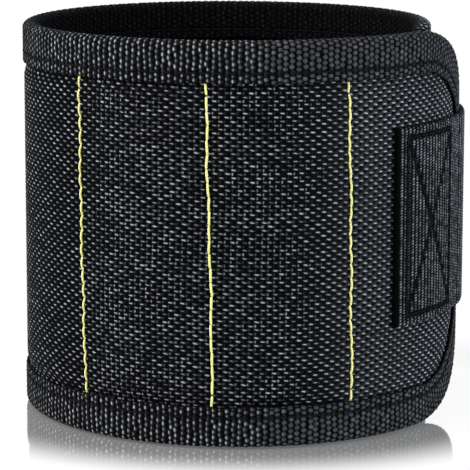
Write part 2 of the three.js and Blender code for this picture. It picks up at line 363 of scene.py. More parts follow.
def make_roll():
    """The tree that moves flat points onto the spiral, by the same formula as from_axis."""
    sizes = {"Front Radius": FRONT_RADIUS, "Growth": GROWTH, "Axis X": float(ROLL_AXIS[0]),
             "Axis Y": float(ROLL_AXIS[1]), "Scale": MM}
    tree, given, made = new_tree("onto_the_roll", sizes)
    radius, growth, scale = out(given, "Front Radius"), out(given, "Growth"), out(given, "Scale")
    flat = out(add(tree, "GeometryNodeInputPosition"))
    parts = add(tree, "ShaderNodeSeparateXYZ", {0: flat})
    along, depth, height = (out(parts, i) for i in range(3))
    turn = ((along * growth * 2 + radius * radius).calc("SQRT") - radius) / growth
    reach = radius + growth * turn - depth
    x = (reach * turn.calc("SINE") + out(given, "Axis X")) * scale
    y = (out(given, "Axis Y") - reach * turn.calc("COSINE")) * scale
    kept = add(tree, "GeometryNodeStoreNamedAttribute",
               {"Geometry": out(given), "Name": "flat", "Value": flat},
               data_type="FLOAT_VECTOR", domain="POINT")
    moved = add(tree, "GeometryNodeSetPosition",
                {"Geometry": out(kept), "Position": spot(tree, x, y, height * scale)})
    plug(made.inputs[0], out(moved))
    return tree


onto_the_roll = make_roll()
print("onto_the_roll has", len(onto_the_roll.nodes), "nodes")

# %% [markdown]
# Every tree ends in the same way. Its instances are made real, because an export drops instances,
# and then its shape is rolled up and gets its material. The tree with nothing else in it is for
# pieces that are flat meshes already.

# %% The end of every tree
def end_tree(tree, given, made, geometry):
    """The end that every tree has: instances made real, rolled up, and given their material."""
    real = add(tree, "GeometryNodeRealizeInstances", {"Geometry": geometry})
    rolling = add(tree, "GeometryNodeGroup", node_tree=onto_the_roll)
    plug(rolling.inputs[0], out(real))
    painted = add(tree, "GeometryNodeSetMaterial",
                  {"Geometry": out(rolling), "Material": out(given, "Material")})
    plug(made.inputs[0], out(painted))
    return tree


roll_tree, given, made = new_tree("roll_up", {"Material": None})
roll_up = end_tree(roll_tree, given, made, out(given))
print("roll_up has", len(roll_up.nodes), "nodes")

# %% [markdown]
# The modifier that carries a tree is only a tool here. Once it has made its shape, the shape is
# copied to a plain mesh and the flat piece is thrown away.

# %% From a flat piece to a finished mesh
SHARP = math.radians(75)


def make(name, flat_mesh, tree, material, **inputs):
    """Hangs a tree on a flat mesh, and returns what it makes as an object with a plain mesh."""
    source = bpy.data.objects.new(name + "_flat", flat_mesh)
    bpy.context.scene.collection.objects.link(source)
    modifier = source.modifiers.new(tree.name, "NODES")
    modifier.node_group = tree
    values = {**inputs, "Material": material}
    for socket in tree.interface.items_tree:
        if socket.in_out == "INPUT" and socket.name in values:
            modifier[socket.identifier] = values[socket.name]
    seen = source.evaluated_get(bpy.context.evaluated_depsgraph_get())
    mesh = bpy.data.meshes.new_from_object(seen)
    mesh.name = name
    bpy.data.objects.remove(source)
    bpy.data.meshes.remove(flat_mesh)
    piece = bpy.data.objects.new(name, mesh)
    bpy.context.scene.collection.objects.link(piece)
    mesh.polygons.foreach_set("use_smooth", np.ones(len(mesh.polygons), bool))
    mesh.set_sharp_from_angle(angle=SHARP)
    print(name, len(mesh.polygons), "faces")
    return piece


print("edges of more than", round(math.degrees(SHARP)), "degrees stay sharp")

# %% [markdown]
# A flat piece is a closed shell. Its visible face is a fine grid of points, its hidden face a
# coarse one, and both are joined along the edges. The light painted on each point, from its crest to
# the shade painted in its gaps, is kept with it as an attribute named crest.

# %% Flat shells
DOUBLE_DISTANCE = 1e-4


def places(along, depth, height):
    """An array of points from their three numbers."""
    return np.stack(np.broadcast_arrays(along, depth, height), -1)


def steps(low, high, longest):
    """Even stations from low to high, no further apart than longest."""
    return np.linspace(low, high, max(2, math.ceil((high - low) / longest - 1e-6) + 1))


def grid_faces(columns, rows, first=0):
    """Quads over a grid of points that are counted row by row within each column."""
    corner = first + np.arange(columns - 1)[:, None] * rows + np.arange(rows - 1)[None, :]
    corner = corner.ravel()
    return np.stack((corner, corner + rows, corner + rows + 1, corner + 1), 1)


def shell(name, front, back, crest):
    """A closed flat mesh between two grids of points with as many columns along the band."""
    columns, rows = front.shape[:2]
    under_rows = back.shape[1]
    under = columns * rows
    faces = [grid_faces(columns, rows), grid_faces(columns, under_rows, under)[:, ::-1]]
    step = np.arange(columns - 1)
    for row, under_row, turned_over in ((0, 0, False), (rows - 1, under_rows - 1, True)):
        top = step * rows + row
        low = under + step * under_rows + under_row
        rim = np.stack((top, low, low + under_rows, top + rows), 1)
        faces.append(rim[:, ::-1] if turned_over else rim)
    ends = []
    for column, turned_over in ((0, False), (columns - 1, True)):
        cap = [column * rows + row for row in range(rows)]
        cap += [under + column * under_rows + row for row in reversed(range(under_rows))]
        ends.append(cap[::-1] if turned_over else cap)
    points = np.concatenate((front.reshape(-1, 3), back.reshape(-1, 3)))
    mesh = bpy.data.meshes.new(name)
    mesh.from_pydata(points.tolist(), [], np.concatenate(faces).tolist() + ends)
    values = np.concatenate((np.ravel(crest), np.zeros(back.size // 3)))
    layer = mesh.attributes.new("crest", "FLOAT", "POINT")
    layer.data.foreach_set("value", values.astype(np.float32))
    return mesh


def without_doubles(mesh):
    """Merges points that lie on each other, and drops the faces that this leaves without area."""
    work = bmesh.new()
    work.from_mesh(mesh)
    bmesh.ops.remove_doubles(work, verts=work.verts, dist=DOUBLE_DISTANCE)
    bmesh.ops.dissolve_degenerate(work, dist=DOUBLE_DISTANCE, edges=work.edges)
    work.to_mesh(mesh)
    work.free()
    return mesh


print("a grid of 3 by 3 points has", len(grid_faces(3, 3)), "faces")

# %% [markdown]
# ## Finishes for cloth
#
# All the cloth here is black, and what shows of it is light on the crests of its yarns, painted into
# its colour. The mesh carries that painted light, with the painted shade in the gaps, as its crest
# attribute, so each cloth takes its colour from it, from black in the gaps to light grey. Two noises
# on the flat cloth vary it: a fine one from yarn to yarn, and a broad one for handling and dust. A
# stretched noise gives the bump of filaments along the yarn.

# %% Helpers for materials
def new_material(name, **shader):
    """A material with a Principled shader, whose plain values are set on its own sockets."""
    material = bpy.data.materials.new(name)
    material.use_nodes = True
    tree = material.node_tree
    principled = next(node for node in tree.nodes if node.type == "BSDF_PRINCIPLED")
    for socket, value in shader.items():
        principled.inputs[socket.replace("_", " ")].default_value = value
    return material, tree, principled


def attribute(tree, name, output):
    """An attribute that was stored on the mesh."""
    return out(add(tree, "ShaderNodeAttribute", attribute_name=name), output)


def noise(tree, place, pitch, detail=2.0):
    """Noise over a place. pitch is the size of its grain in three directions, in the place's unit."""
    counts = tuple(1 / size for size in pitch)
    stretched = add(tree, "ShaderNodeVectorMath", {0: place, 1: counts}, operation="MULTIPLY")
    inputs = {"Vector": out(stretched), "Scale": 1.0, "Detail": detail}
    return out(add(tree, "ShaderNodeTexNoise", inputs), "Fac")


def ramp(tree, value, low, high):
    """A value brought from low..high to 0..1 on an S-shaped curve."""
    inputs = {"Value": value, "From Min": low, "From Max": high}
    return out(add(tree, "ShaderNodeMapRange", inputs, interpolation_type="SMOOTHSTEP"))


def mix_colour(tree, share, first, second):
    """A colour that goes from the first to the second as share goes from 0 to 1."""
    node = add(tree, "ShaderNodeMix", {0: share, 6: (*first, 1), 7: (*second, 1)}, data_type="RGBA")
    return out(node, 2)


def roughen(tree, principled, height, relief, strength):
    """Bumps the surface by a height from 0 to 1, which stands for a relief in millimetres."""
    inputs = {"Height": height, "Distance": relief * MM, "Strength": strength}
    plug(principled.inputs["Normal"], out(add(tree, "ShaderNodeBump", inputs)))


print("materials read the attributes flat and crest")

# %% [markdown]
# The cover's yarn is coarse, and its crests are the lightest. The tape and the strap are finer and
# darker, and the lining's mesh stays nearly black. These differ only in their shades and grains, so
# one function makes all four.

# %% Four woven cloths
COOL_CAST = (0.94, 0.99, 1.09)
HANDLED_GRAIN = 28.0
HANDLED_SHARE = 0.3
YARN_SHARE = 0.5
FILAMENT_BUMP = 0.6
FILAMENT_GLOSS = 0.3


def greys(*shades):
    """Shades of grey with a faint cool cast, from pairs of place and brightness."""
    return [(place, tuple(level * cast for cast in COOL_CAST)) for place, level in shades]


def cloth(name, shades, yarn, filament, relief, **shader):
    """Black cloth with light painted on its crests.

    shades are the colours from the painted shade in the gaps between the yarns to the painted light on
    their crests, each with its place from 0 to 1. yarn and filament are the grains of the noises that
    vary the yarns and roughen their bump, and relief is the depth of that bump, all in millimetres.
    """
    material, tree, principled = new_material(name, **shader)
    flat = attribute(tree, "flat", "Vector")
    handled = noise(tree, flat, (HANDLED_GRAIN,) * 3, detail=3.0)
    share = attribute(tree, "crest", "Fac") * ((handled - 0.5) * HANDLED_SHARE + 1)
    share = share * ((noise(tree, flat, yarn) - 0.5) * YARN_SHARE + 1)
    shade = add(tree, "ShaderNodeValToRGB", {0: share})
    for place, colour in shades[1:-1]:
        shade.color_ramp.elements.new(place)
    for element, (place, colour) in zip(shade.color_ramp.elements, shades):
        element.position = place
        element.color = (*colour, 1)
    plug(principled.inputs["Base Color"], out(shade))
    strand = noise(tree, flat, filament)
    roughen(tree, principled, strand, relief, FILAMENT_BUMP)
    roughness = principled.inputs["Roughness"]
    plug(roughness, (strand - 0.5) * FILAMENT_GLOSS + roughness.default_value)
    return material


ballistic = cloth("ballistic_weave", greys((0, 0.0015), (0.2, 0.004), (0.42, 0.03), (0.85, 0.42)),
                  yarn=(2.0, 2.0, 0.7), filament=(0.9, 0.12, 0.1), relief=0.04,
                  Roughness=0.6, Specular_IOR_Level=0.005, Sheen_Weight=0.015, Sheen_Roughness=0.4,
                  Sheen_Tint=(0.75, 0.88, 1.0, 1.0))
tape = cloth("pebbled_binding", greys((0, 0.0015), (0.2, 0.006), (0.5, 0.055), (0.9, 0.34)),
             yarn=(0.9, 0.9, 0.9), filament=(0.12, 0.12, 0.7), relief=0.04,
             Roughness=0.65, Specular_IOR_Level=0.01)
webbing = cloth("strap_webbing", greys((0, 0.001), (0.25, 0.004), (0.5, 0.052), (0.9, 0.29)),
                yarn=(0.9, 0.9, 0.7), filament=(0.12, 0.12, 0.6), relief=0.04,
                Roughness=0.65, Specular_IOR_Level=0.01)
spacer = cloth("lining_mesh", greys((0, 0.001), (0.5, 0.0025), (1.0, 0.008)),
               yarn=(0.8, 0.8, 0.8), filament=(0.2, 0.2, 0.5), relief=0.05,
               Roughness=0.85, Specular_IOR_Level=0.05)
print("cloths:", ballistic.name, tape.name, webbing.name, spacer.name)

# %% [markdown]
# ## Thread, hooks, pile and magnets
#
# Thread is two strands twisted together, so its bump runs slantwise across each stitch, and light
# and shade are painted in bands along the twist. The hooks are moulded plastic with a dull skin, and
# the pile is napped and has hardly any gloss.

# %% Thread, plastic and pile
TWIST_BANDS = {"Scale": 0.9, "Distortion": 1.5, "Detail": 1.0}
TWIST_SHARE = 0.6
TWIST_RELIEF = 0.1
TWIST_BUMP = 0.8
THREAD_GRAIN = (3, 3, 3)
DULL_BUMP = 0.7


def thread_finish(name, dark, light, **shader):
    """Twisted thread, with bands of painted light and shade along its twist, varied by noise."""
    material, tree, principled = new_material(name, **shader)
    flat = attribute(tree, "flat", "Vector")
    bands = add(tree, "ShaderNodeTexWave", {"Vector": flat, **TWIST_BANDS},
                wave_type="BANDS", bands_direction="DIAGONAL")
    twist = out(bands, "Fac")
    share = twist * TWIST_SHARE + noise(tree, flat, THREAD_GRAIN) * (1 - TWIST_SHARE)
    plug(principled.inputs["Base Color"], mix_colour(tree, share, dark, light))
    roughen(tree, principled, twist, TWIST_RELIEF, TWIST_BUMP)
    return material


def dull_finish(name, dark, light, grain, relief, **shader):
    """A dull skin with a fine even grain."""
    material, tree, principled = new_material(name, **shader)
    fine = noise(tree, attribute(tree, "flat", "Vector"), (grain,) * 3, detail=4.0)
    plug(principled.inputs["Base Color"], mix_colour(tree, fine, dark, light))
    roughen(tree, principled, fine, relief, DULL_BUMP)
    return material


yellow_thread = thread_finish("yellow_thread", (0.70, 0.66, 0.17), (0.95, 0.94, 0.40),
                              Roughness=0.5, Specular_IOR_Level=0.35)
dark_thread = thread_finish("dark_thread", (0.003, 0.003, 0.0035), (0.012, 0.012, 0.013),
                            Roughness=0.7, Specular_IOR_Level=0.03)
hook_plastic = dull_finish("hook_plastic", (0.005, 0.005, 0.006), (0.016, 0.016, 0.018),
                           grain=0.5, relief=0.03, Roughness=0.5, Specular_IOR_Level=0.2)
loop_pile = dull_finish("loop_pile", (0.006, 0.006, 0.007), (0.03, 0.03, 0.033),
                        grain=0.4, relief=0.08, Roughness=0.9, Specular_IOR_Level=0.1)
print("small finishes:", yellow_thread.name, dark_thread.name, hook_plastic.name, loop_pile.name)

# %% [markdown]
# The magnets are nickel plated, with fine scratches. Their solids are plain blocks already, so they
# stay and only get this finish. It is laid out on Object coordinates, because the solids were never
# flat and have no flat attribute.

# %% Nickel for the magnets
SCRATCH_GRAIN = (0.2 * MM, 0.2 * MM, 4 * MM)
SCRATCH_ROUGHNESS = 0.25
PLATE_ROUGHNESS = 0.14
PLATE_DARK = (0.62, 0.61, 0.58)
PLATE_LIGHT = (0.78, 0.77, 0.74)


def nickel_finish():
    """Nickel plate with upright scratches."""
    material, tree, principled = new_material("nickel_plate", Metallic=1.0)
    place = out(add(tree, "ShaderNodeTexCoord"), "Object")
    scratch = noise(tree, place, SCRATCH_GRAIN, detail=5.0)
    plug(principled.inputs["Base Color"], mix_colour(tree, scratch, PLATE_DARK, PLATE_LIGHT))
    plug(principled.inputs["Roughness"], scratch * SCRATCH_ROUGHNESS + PLATE_ROUGHNESS)
    return material


nickel = nickel_finish()
magnets = [node for name, node in frame["nodes"].items()
           if name.startswith("magnet_") and "seam" not in name]
for magnet in magnets:
    for slot in magnet.material_slots:
        slot.material = nickel
print(len(magnets), "magnets in", nickel.name)

# %% [markdown]
# ## The woven cover
#
# The cover is a plain weave of thick yarn. A yarn across lies over one upright yarn and under the
# next, and its neighbour does the opposite, so the yarns that show make a brick pattern of short
# dashes. The height of the cloth is the higher of the two yarns at each place. No two yarns are
# quite alike, so tables with a fixed seed give each its own light and a small shift.

# %% Yarns that differ and wander
WEAVE_SEED = 7
YARN_TABLE = (512, 256)
YARN_LIGHT = (0.6, 1.0)
YARN_SHIFT = 0.07
FLECK_LIGHT = (0.3, 0.82)
WANDER_ALONG = ((0.22, 41.0, 13.0), (0.1, -17.0, 5.1))
WANDER_UP = ((0.2, 19.0, math.inf), (0.1, 7.3, 29.0))
rng = np.random.default_rng(WEAVE_SEED)
yarn_light = rng.uniform(*YARN_LIGHT, YARN_TABLE)
yarn_shift = rng.normal(0.0, YARN_SHIFT, YARN_TABLE)
fleck_light = rng.uniform(*FLECK_LIGHT, YARN_TABLE)


def yarn_at(column, row):
    """The place in the tables of the yarn in a column and a row."""
    return column.astype(int) % YARN_TABLE[0], row.astype(int) % YARN_TABLE[1]


def waves(along, height, terms):
    """A sum of waves, each given by its size and by the length of a radian along and up."""
    return sum(size * np.sin(along / length + height / rise) for size, length, rise in terms)


def sway(along, height):
    """Cloth is never quite square: its yarns wander by a fraction of their pitch."""
    return along + waves(along, height, WANDER_ALONG), height + waves(along, height, WANDER_UP)


def fade(distance, width):
    """1 on a line, and next to nothing at twice the width from it."""
    return np.exp(-((distance / width) ** 2))


print("tables for", yarn_light.size, "yarn crossings")

# %% [markdown]
# The light on the weave changes round the band. In front, painted highlights on the left flanks of
# the upright yarns show as flecks between the dashes. They fade out round the left side. Towards the
# flap, a painted sheen of light from the right greys the whole yarn, and only painted shadows in the
# hollows beside the dashes stay black. No lamp gives these differences, so they are painted into the
# crest attribute.

# %% Height and light of the plain weave
WEFT_PITCH = 0.88
WEFT_SWING = 0.5
WEFT_BACK = 0.62
WARP_SWING = 0.38
WARP_BACK = 0.5
YARN_FLATNESS = 0.8
WEAVE_FLOOR = -0.1
DASH_LEAN = 0.16
DASH_WIDTH = 0.5
FLECK_WIDTH = 0.38
FLECK_SHIFT = 0.5
FLECK_FROM = -46.0
FLECK_FULLY = -30.0
FLECK_LEAST = 0.2
SHINE_REACH = 0.1
SHINE_SPREAD = 0.6
SHEEN_FROM = 4.0
SHEEN_FULLY = 30.0
SHEEN_LIGHT = 0.34
SHEEN_DASH = 0.04
SHEEN_FLECK = 0.7
SHEEN_EVEN = 0.6
DASH_SHADOW_WIDTH = 0.6
DASH_SHADOW_REACH = 0.3


def yarn_back(rise, aside, swing, back):
    """The height of a yarn that swings up and down and has a round back."""
    return swing * rise + back * np.sqrt(np.clip(1 - YARN_FLATNESS * aside**2, 0, 1))


def shine(rise, aside, width):
    """The light on a yarn where it lies on top, along a line on its back."""
    return np.clip(rise + SHINE_REACH, 0, 1) ** SHINE_SPREAD * fade(aside, width)


def plain_weave(along, height):
    """How high the cloth stands, and the light and shade painted on its yarn there, both from 0 to 1.
    """
    # Painted sheen: light from the right greys the yarn more and more towards the flap.
    right_sheen = smooth((along - SHEEN_FROM) / (SHEEN_FULLY - SHEEN_FROM))
    along, height = sway(along, height)
    row = np.floor(height / WEFT_PITCH)
    column = np.round(along / WARP_PITCH)
    pick = yarn_at(column, row)
    weft_phase = along / WARP_PITCH + row
    from_dash = (weft_phase - 2 * np.round(weft_phase / 2)) * WARP_PITCH
    over_weft = 2 * ((height + DASH_LEAN * from_dash) / WEFT_PITCH - row) - 1 + yarn_shift[pick]
    over_warp = 2 * (along / WARP_PITCH - column)
    weft_rise = np.cos(math.pi * weft_phase)
    warp_rise = -np.cos(math.pi * (column + height / WEFT_PITCH - 0.5))
    weft = yarn_back(weft_rise, over_weft, WEFT_SWING, WEFT_BACK)
    warp = yarn_back(warp_rise, over_warp, WARP_SWING, WARP_BACK)
    stands = (np.maximum(weft, warp) - WEAVE_FLOOR) / (WEFT_SWING + WEFT_BACK - WEAVE_FLOOR)
    # Painted highlights: dashes on the yarns across, and flecks on the left flanks of the upright
    # yarns.
    dash = shine(weft_rise, over_weft, DASH_WIDTH) * yarn_light[pick] ** (1 - SHEEN_EVEN * right_sheen)
    fleck = shine(warp_rise, over_warp + FLECK_SHIFT, FLECK_WIDTH) * fleck_light[pick]
    bare = smooth((along - FLECK_FROM) / (FLECK_FULLY - FLECK_FROM)) - SHEEN_FLECK * right_sheen
    fleck = fleck * (FLECK_LEAST + (1 - FLECK_LEAST) * bare)
    yarn = np.maximum(dash * (1 + SHEEN_DASH * right_sheen), fleck)
    # Painted shadows: black hollows under each dash and above each fleck, where the sheen lies.
    under_dash = np.clip(DASH_SHADOW_REACH + weft_rise, 0, 1) * fade(over_weft + 1, DASH_SHADOW_WIDTH)
    over_fleck = np.clip(DASH_SHADOW_REACH - weft_rise, 0, 1) * fade(over_weft - 1, DASH_SHADOW_WIDTH)
    dash_shadow = right_sheen * np.maximum(under_dash, over_fleck)
    return np.clip(stands, 0, 1), np.maximum(yarn, SHEEN_LIGHT * right_sheen) * (1 - dash_shadow)


sample = plain_weave(np.linspace(0, WARP_PITCH, 9), np.full(9, MIDDLE))
print("heights across one yarn", np.round(sample[0], 2))

# %% [markdown]
# The cover's shell has the weave on its outside and is plain inside. Four points for each yarn are
# enough to show its round back, and the strips that the tape hides need no weave. The cloth stops
# a little inside the band's outline, where the tape is folded round it.

# %% The cover along each stretch
COVER_THICKNESS = 0.9
RIM_INSET = 0.9
WEAVE_RELIEF = 0.3
POINTS_PER_YARN = 4
WEAVE_UNDER_TAPE = 1.2


def stations_of(stretch, longest):
    """Stations along a stretch's cloth, which stops a little short of the band's ends."""
    low = max(stretch.low, INNER_END + RIM_INSET)
    high = min(stretch.high, FLAP_REACH - RIM_INSET)
    return steps(low, high, longest)


def cloth_grid(along, rows):
    """Places along and up the cloth, with its rows drawn together at the rounded corners."""
    floor = inset_height(along, RIM_INSET)[:, None]
    height = np.clip(rows[None, :], floor, BAND_HEIGHT - floor)
    return np.broadcast_to(along[:, None], height.shape), height


def cover_mesh(stretch):
    """The cover's flat shell over one stretch, with its weave on the outside."""
    along = stations_of(stretch, WARP_PITCH / POINTS_PER_YARN)
    hidden = BINDING_WIDTH - WEAVE_UNDER_TAPE
    fine = steps(hidden, BAND_HEIGHT - hidden, WEFT_PITCH / POINTS_PER_YARN)
    rows = np.concatenate(((0, hidden / 2), fine, (BAND_HEIGHT - hidden / 2, BAND_HEIGHT)))
    grid, height = cloth_grid(along, rows)
    stands, light = plain_weave(grid, height)
    front = places(grid, skin_depth(grid, height) + WEAVE_RELIEF * (1 - stands), height)
    bends = np.array((0, BINDING_WIDTH, BINDING_WIDTH + PINCH_SLOPE, MIDDLE))
    grid, height = cloth_grid(along, np.concatenate((bends, BAND_HEIGHT - bends[-2::-1])))
    back = places(grid, skin_depth(grid, height) + COVER_THICKNESS, height)
    return without_doubles(shell("cover", front, back, light))


for stretch in stretches:
    cover = make("woven_cover_" + stretch.name, cover_mesh(stretch), roll_up, ballistic)
    seat(cover, stretch.bodies, stretch.bend)
    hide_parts(*("outer_cover_" + part for part in stretch.nodes))

# %% [markdown]
# ## The padded lining
#
# Behind the cover lies foam with a ribbed mesh face, which shows inside the band. The seams that
# part the magnet columns go right through it and draw it in, and each magnet has a pocket in its
# hidden side. Cloth simulation would swell the foam, but it is only a few millimetres thick and
# held along every seam, so its form is worked out here as a crown between the seams.

# %% Seams and pockets in the padding
SEAM_DRAW_WIDTH = 2.6
MAGNET_LENGTH = 20.0
MAGNET_WIDTH = 10.0
MAGNET_ROW_PITCH = 22.0
MAGNET_ROWS = (-1, 0, 1)
POCKET_MARGIN = 0.6
THREAD_SETBACK = 0.9


def seam_draw(along):
    """How strongly the nearest seam draws the padding in at a place, from 0 to 1."""
    nearest = np.min([np.abs(along - seam + THREAD_SETBACK) for seam in seams], axis=0)
    return fade(nearest, SEAM_DRAW_WIDTH)


def in_pocket(along, height):
    """Whether a place lies in one of the magnets' pockets."""
    aside = np.min([np.abs(along - (right + left) / 2) for right, left in magnet_columns], axis=0)
    rows = [np.abs(height - MIDDLE - shift * MAGNET_ROW_PITCH) for shift in MAGNET_ROWS]
    within_width = aside < MAGNET_WIDTH / 2 + POCKET_MARGIN
    return within_width & (np.min(rows, axis=0) < MAGNET_LENGTH / 2 + POCKET_MARGIN)


print(len(magnet_columns) * len(MAGNET_ROWS), "pockets for", MAGNET_LENGTH, "mm long magnets")

# %% [markdown]
# The ribs of the mesh run up the band, with a row of small knots on each. A bump in the material
# could draw them, but real relief catches the light better and stays when the mesh is exported.

# %% The lining along each stretch
LAYER_GAP = 0.3
RIM_PINCH_INSIDE = 2.2
LINING_RIB = 2.0
LINING_KNOT = 2.8
LINING_KNOT_SHARE = 0.3
LINING_RELIEF = 0.35
LINING_STEP = 1.4
LINING_HEM = 3.0
POINTS_PER_LINING_RIB = 4
POCKET_FLOOR = 3.85
SEAM_DRAW = 0.9
THINNEST_PADDING = 0.3


def lining_mesh(stretch):
    """The padding's flat shell over one stretch, with its ribs on the inside."""
    fine = steps(LINING_HEM, BAND_HEIGHT - LINING_HEM, LINING_STEP)
    rows = np.concatenate(((0,), fine, (BAND_HEIGHT,)))
    grid, height = cloth_grid(stations_of(stretch, LINING_RIB / POINTS_PER_LINING_RIB), rows)
    pinch = pinch_at(grid, height)
    rib = 0.5 + 0.5 * np.cos(2 * math.pi * grid / LINING_RIB)
    offset = math.pi * np.round(grid / LINING_RIB)
    knot = 0.5 + 0.5 * np.cos(2 * math.pi * height / LINING_KNOT + offset)
    relief = rib * (1 - LINING_KNOT_SHARE + LINING_KNOT_SHARE * knot)
    inner = WALL - RIM_PINCH_INSIDE * pinch - SEAM_DRAW * seam_draw(grid) * (1 - pinch)
    inner = inner - LINING_RELIEF * (1 - relief) * (1 - pinch)
    outer = skin_depth(grid, height) + COVER_THICKNESS + LAYER_GAP
    outer = np.where(in_pocket(grid, height), POCKET_FLOOR, outer)
    outer = np.minimum(outer, inner - THINNEST_PADDING)
    # The ribs' relief is also their crest, so the rib tops are painted a little lighter and their
    # grooves darker, as shade.
    mesh = shell("lining", places(grid, inner, height), places(grid, outer, height), relief)
    mesh.flip_normals()
    return without_doubles(mesh)


for stretch in stretches:
    lining = make("padded_mesh_" + stretch.name, lining_mesh(stretch), roll_up, spacer)
    seat(lining, stretch.bodies, stretch.bend)
    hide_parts(*("padded_lining_" + part for part in stretch.nodes))

# %% [markdown]
# ## Binding tape
#
# A tape with a pebbled face is folded over both edges and runs round the ends in one piece. Its
# pebbles are small knots of yarn in upright ribs, each rib set off by half a knot from the last. A
# curve with a bevel profile could follow the edge, but it could not carry the knots. So the section
# of the folded tape is worked out once, and swept along the edge with the knots on its outside.

# %% The tape's section
BINDING_OUTSIDE = -0.5
BINDING_INSIDE = 3.5
BINDING_CREST = 1.6
BINDING_THICKNESS = 0.6
BINDING_MIDDLE = (BINDING_OUTSIDE + BINDING_INSIDE) / 2
FEWEST_TURN_POINTS = 5


def tape_section(inset, longest):
    """Points of the folded tape from its outer free edge over the rim to its inner one.

    Each has its depth, its distance in from the band's edge, the direction that faces away from
    the band, and the length so far.
    """
    half = (BINDING_INSIDE - BINDING_OUTSIDE) / 2 - inset
    leg = steps(0, BINDING_WIDTH - BINDING_CREST, longest)[:-1]
    turn = np.linspace(0, math.pi, max(FEWEST_TURN_POINTS, math.ceil(math.pi * half / longest)))
    depth = np.concatenate((np.full(len(leg), -half), -half * np.cos(turn), np.full(len(leg), half)))
    crest = BINDING_CREST - (BINDING_CREST - inset) * np.sin(turn)
    into = np.concatenate((BINDING_WIDTH - leg, crest, BINDING_WIDTH - leg[::-1]))
    slope = np.stack((np.gradient(depth), np.gradient(into)), 1)
    facing = np.stack((slope[:, 1], -slope[:, 0]), 1) / np.linalg.norm(slope, axis=1)[:, None]
    gone = np.concatenate(((0,), np.cumsum(np.hypot(np.diff(depth), np.diff(into)))))
    return BINDING_MIDDLE + depth, into, facing, gone


print("the folded tape is", BINDING_INSIDE - BINDING_OUTSIDE, "mm thick over all")

# %% [markdown]
# The tape follows straight edges along most of the band, and one line round each rounded end. Each
# edge holds a whole number of ribs, so the knots meet where two stretches meet.

# %% The edges that the tape follows
RIB_PITCH = 1.46
STATIONS_PER_RIB = 6


def rib_stations(length):
    """Stations over an even number of ribs, so that every stretch starts and ends in a groove."""
    ribs = 2 * round(length / RIB_PITCH / 2)
    return np.linspace(0, length, STATIONS_PER_RIB * ribs + 1)


def straight_edge(low, high, top):
    """Points along one edge: place along, height, and the direction into the band."""
    along = low + rib_stations(high - low)
    height = np.full(len(along), BAND_HEIGHT if top else 0.0)
    into = np.stack((np.zeros(len(along)), np.full(len(along), -1.0 if top else 1.0)), 1)
    return (along[::-1] if top else along), height, into


def round_edge(start, end, corner):
    """Points along the lower edge, round the band's end and back along the upper edge."""
    side = math.copysign(1, end - start)
    straight = abs(end - start) - corner
    arc = corner * math.pi / 2
    upright = BAND_HEIGHT - 2 * corner
    gone = rib_stations(2 * (straight + arc) + upright)
    half = straight + arc + upright / 2
    near = np.minimum(gone, 2 * half - gone)
    angle = np.clip((near - straight) / corner, 0, math.pi / 2)
    reach = np.minimum(near, straight) + corner * np.sin(angle)
    rise = corner * (1 - np.cos(angle)) + np.clip(near - straight - arc, 0, None)
    upper = gone > half
    height = np.where(upper, BAND_HEIGHT - rise, rise)
    into = np.stack((-side * np.sin(angle), np.where(upper, -1, 1) * np.cos(angle)), 1)
    if side > 0:
        return start + reach, height, into
    return (start - reach)[::-1], height[::-1], into[::-1]


def edges_of(stretch):
    """The edges of a stretch that the tape covers."""
    if stretch.name == "flap":
        return [round_edge(stretch.low, FLAP_REACH, FLAP_CORNER)]
    if stretch.name == "inner_end":
        return [round_edge(stretch.high, INNER_END, INNER_CORNER)]
    return [straight_edge(stretch.low, stretch.high, top) for top in (False, True)]


def on_edge(edge, inset, depth):
    """Places beside an edge, that far into the band from it and that deep."""
    along, height, into = edge
    return places(along[:, None] + inset * into[:, :1], depth, height[:, None] + inset * into[:, 1:])


print("edges:", {stretch.name: len(edges_of(stretch)) for stretch in stretches})

# %% [markdown]
# A knot is the top of a small egg, and the tape's face is the highest of the knots around each
# place. As on the cover, the light differs and is painted: towards the flap a painted sheen of light
# from the right greys the knots all over, and elsewhere only the left flank of each knot gets a
# painted highlight.

# %% The tape's knots
BEAD_PITCH = 1.24
KNOT_HALF_LENGTH = 0.84
KNOT_HALF_HEIGHT = 0.7
KNOT_SHIFT = 1.5
KNOT_RIM = 0.5
KNOT_RIM_WIDTH = 0.35
KNOT_LIGHT = 0.33
KNOT_LIGHT_SPREAD = 0.2
FLANK_SHIFT = 0.2
FLANK_WIDTH = 0.26
FLANK_LIGHT = 1.35
FLANK_POWER = 2.5
UNSHEENED_LIGHT = 0.5
KNOT_SHEEN_FROM = -8.0
KNOT_SHEEN_FULLY = 14.0


def pebbles(phase, gone):
    """How high the tape's knots stand, from 0 to 1, how light their yarn is, and how far a place
    lies from the middle of its knot along the tape, in millimetres.

    phase counts the ribs along the tape, and gone is the way across it in millimetres.
    """
    height = np.zeros(np.broadcast_shapes(phase.shape, gone.shape))
    light = height.copy()
    side = height.copy()
    for step in (-1, 0, 1):
        rib = np.floor(phase).astype(int) + step
        count = gone / BEAD_PITCH - 0.5 * (rib % 2)
        knot = np.round(count)
        pick = yarn_at(rib, knot)
        aside = (phase - rib - 0.5) * RIB_PITCH + KNOT_SHIFT * yarn_shift[pick]
        above = (count - knot) * BEAD_PITCH
        egg = 1 - (aside / KNOT_HALF_LENGTH) ** 2 - (above / KNOT_HALF_HEIGHT) ** 2
        rise = np.sqrt(np.clip(egg, 0, 1))
        light = np.where(rise > height, yarn_light[pick], light)
        side = np.where(rise > height, aside, side)
        height = np.maximum(height, rise)
    return height, light, side


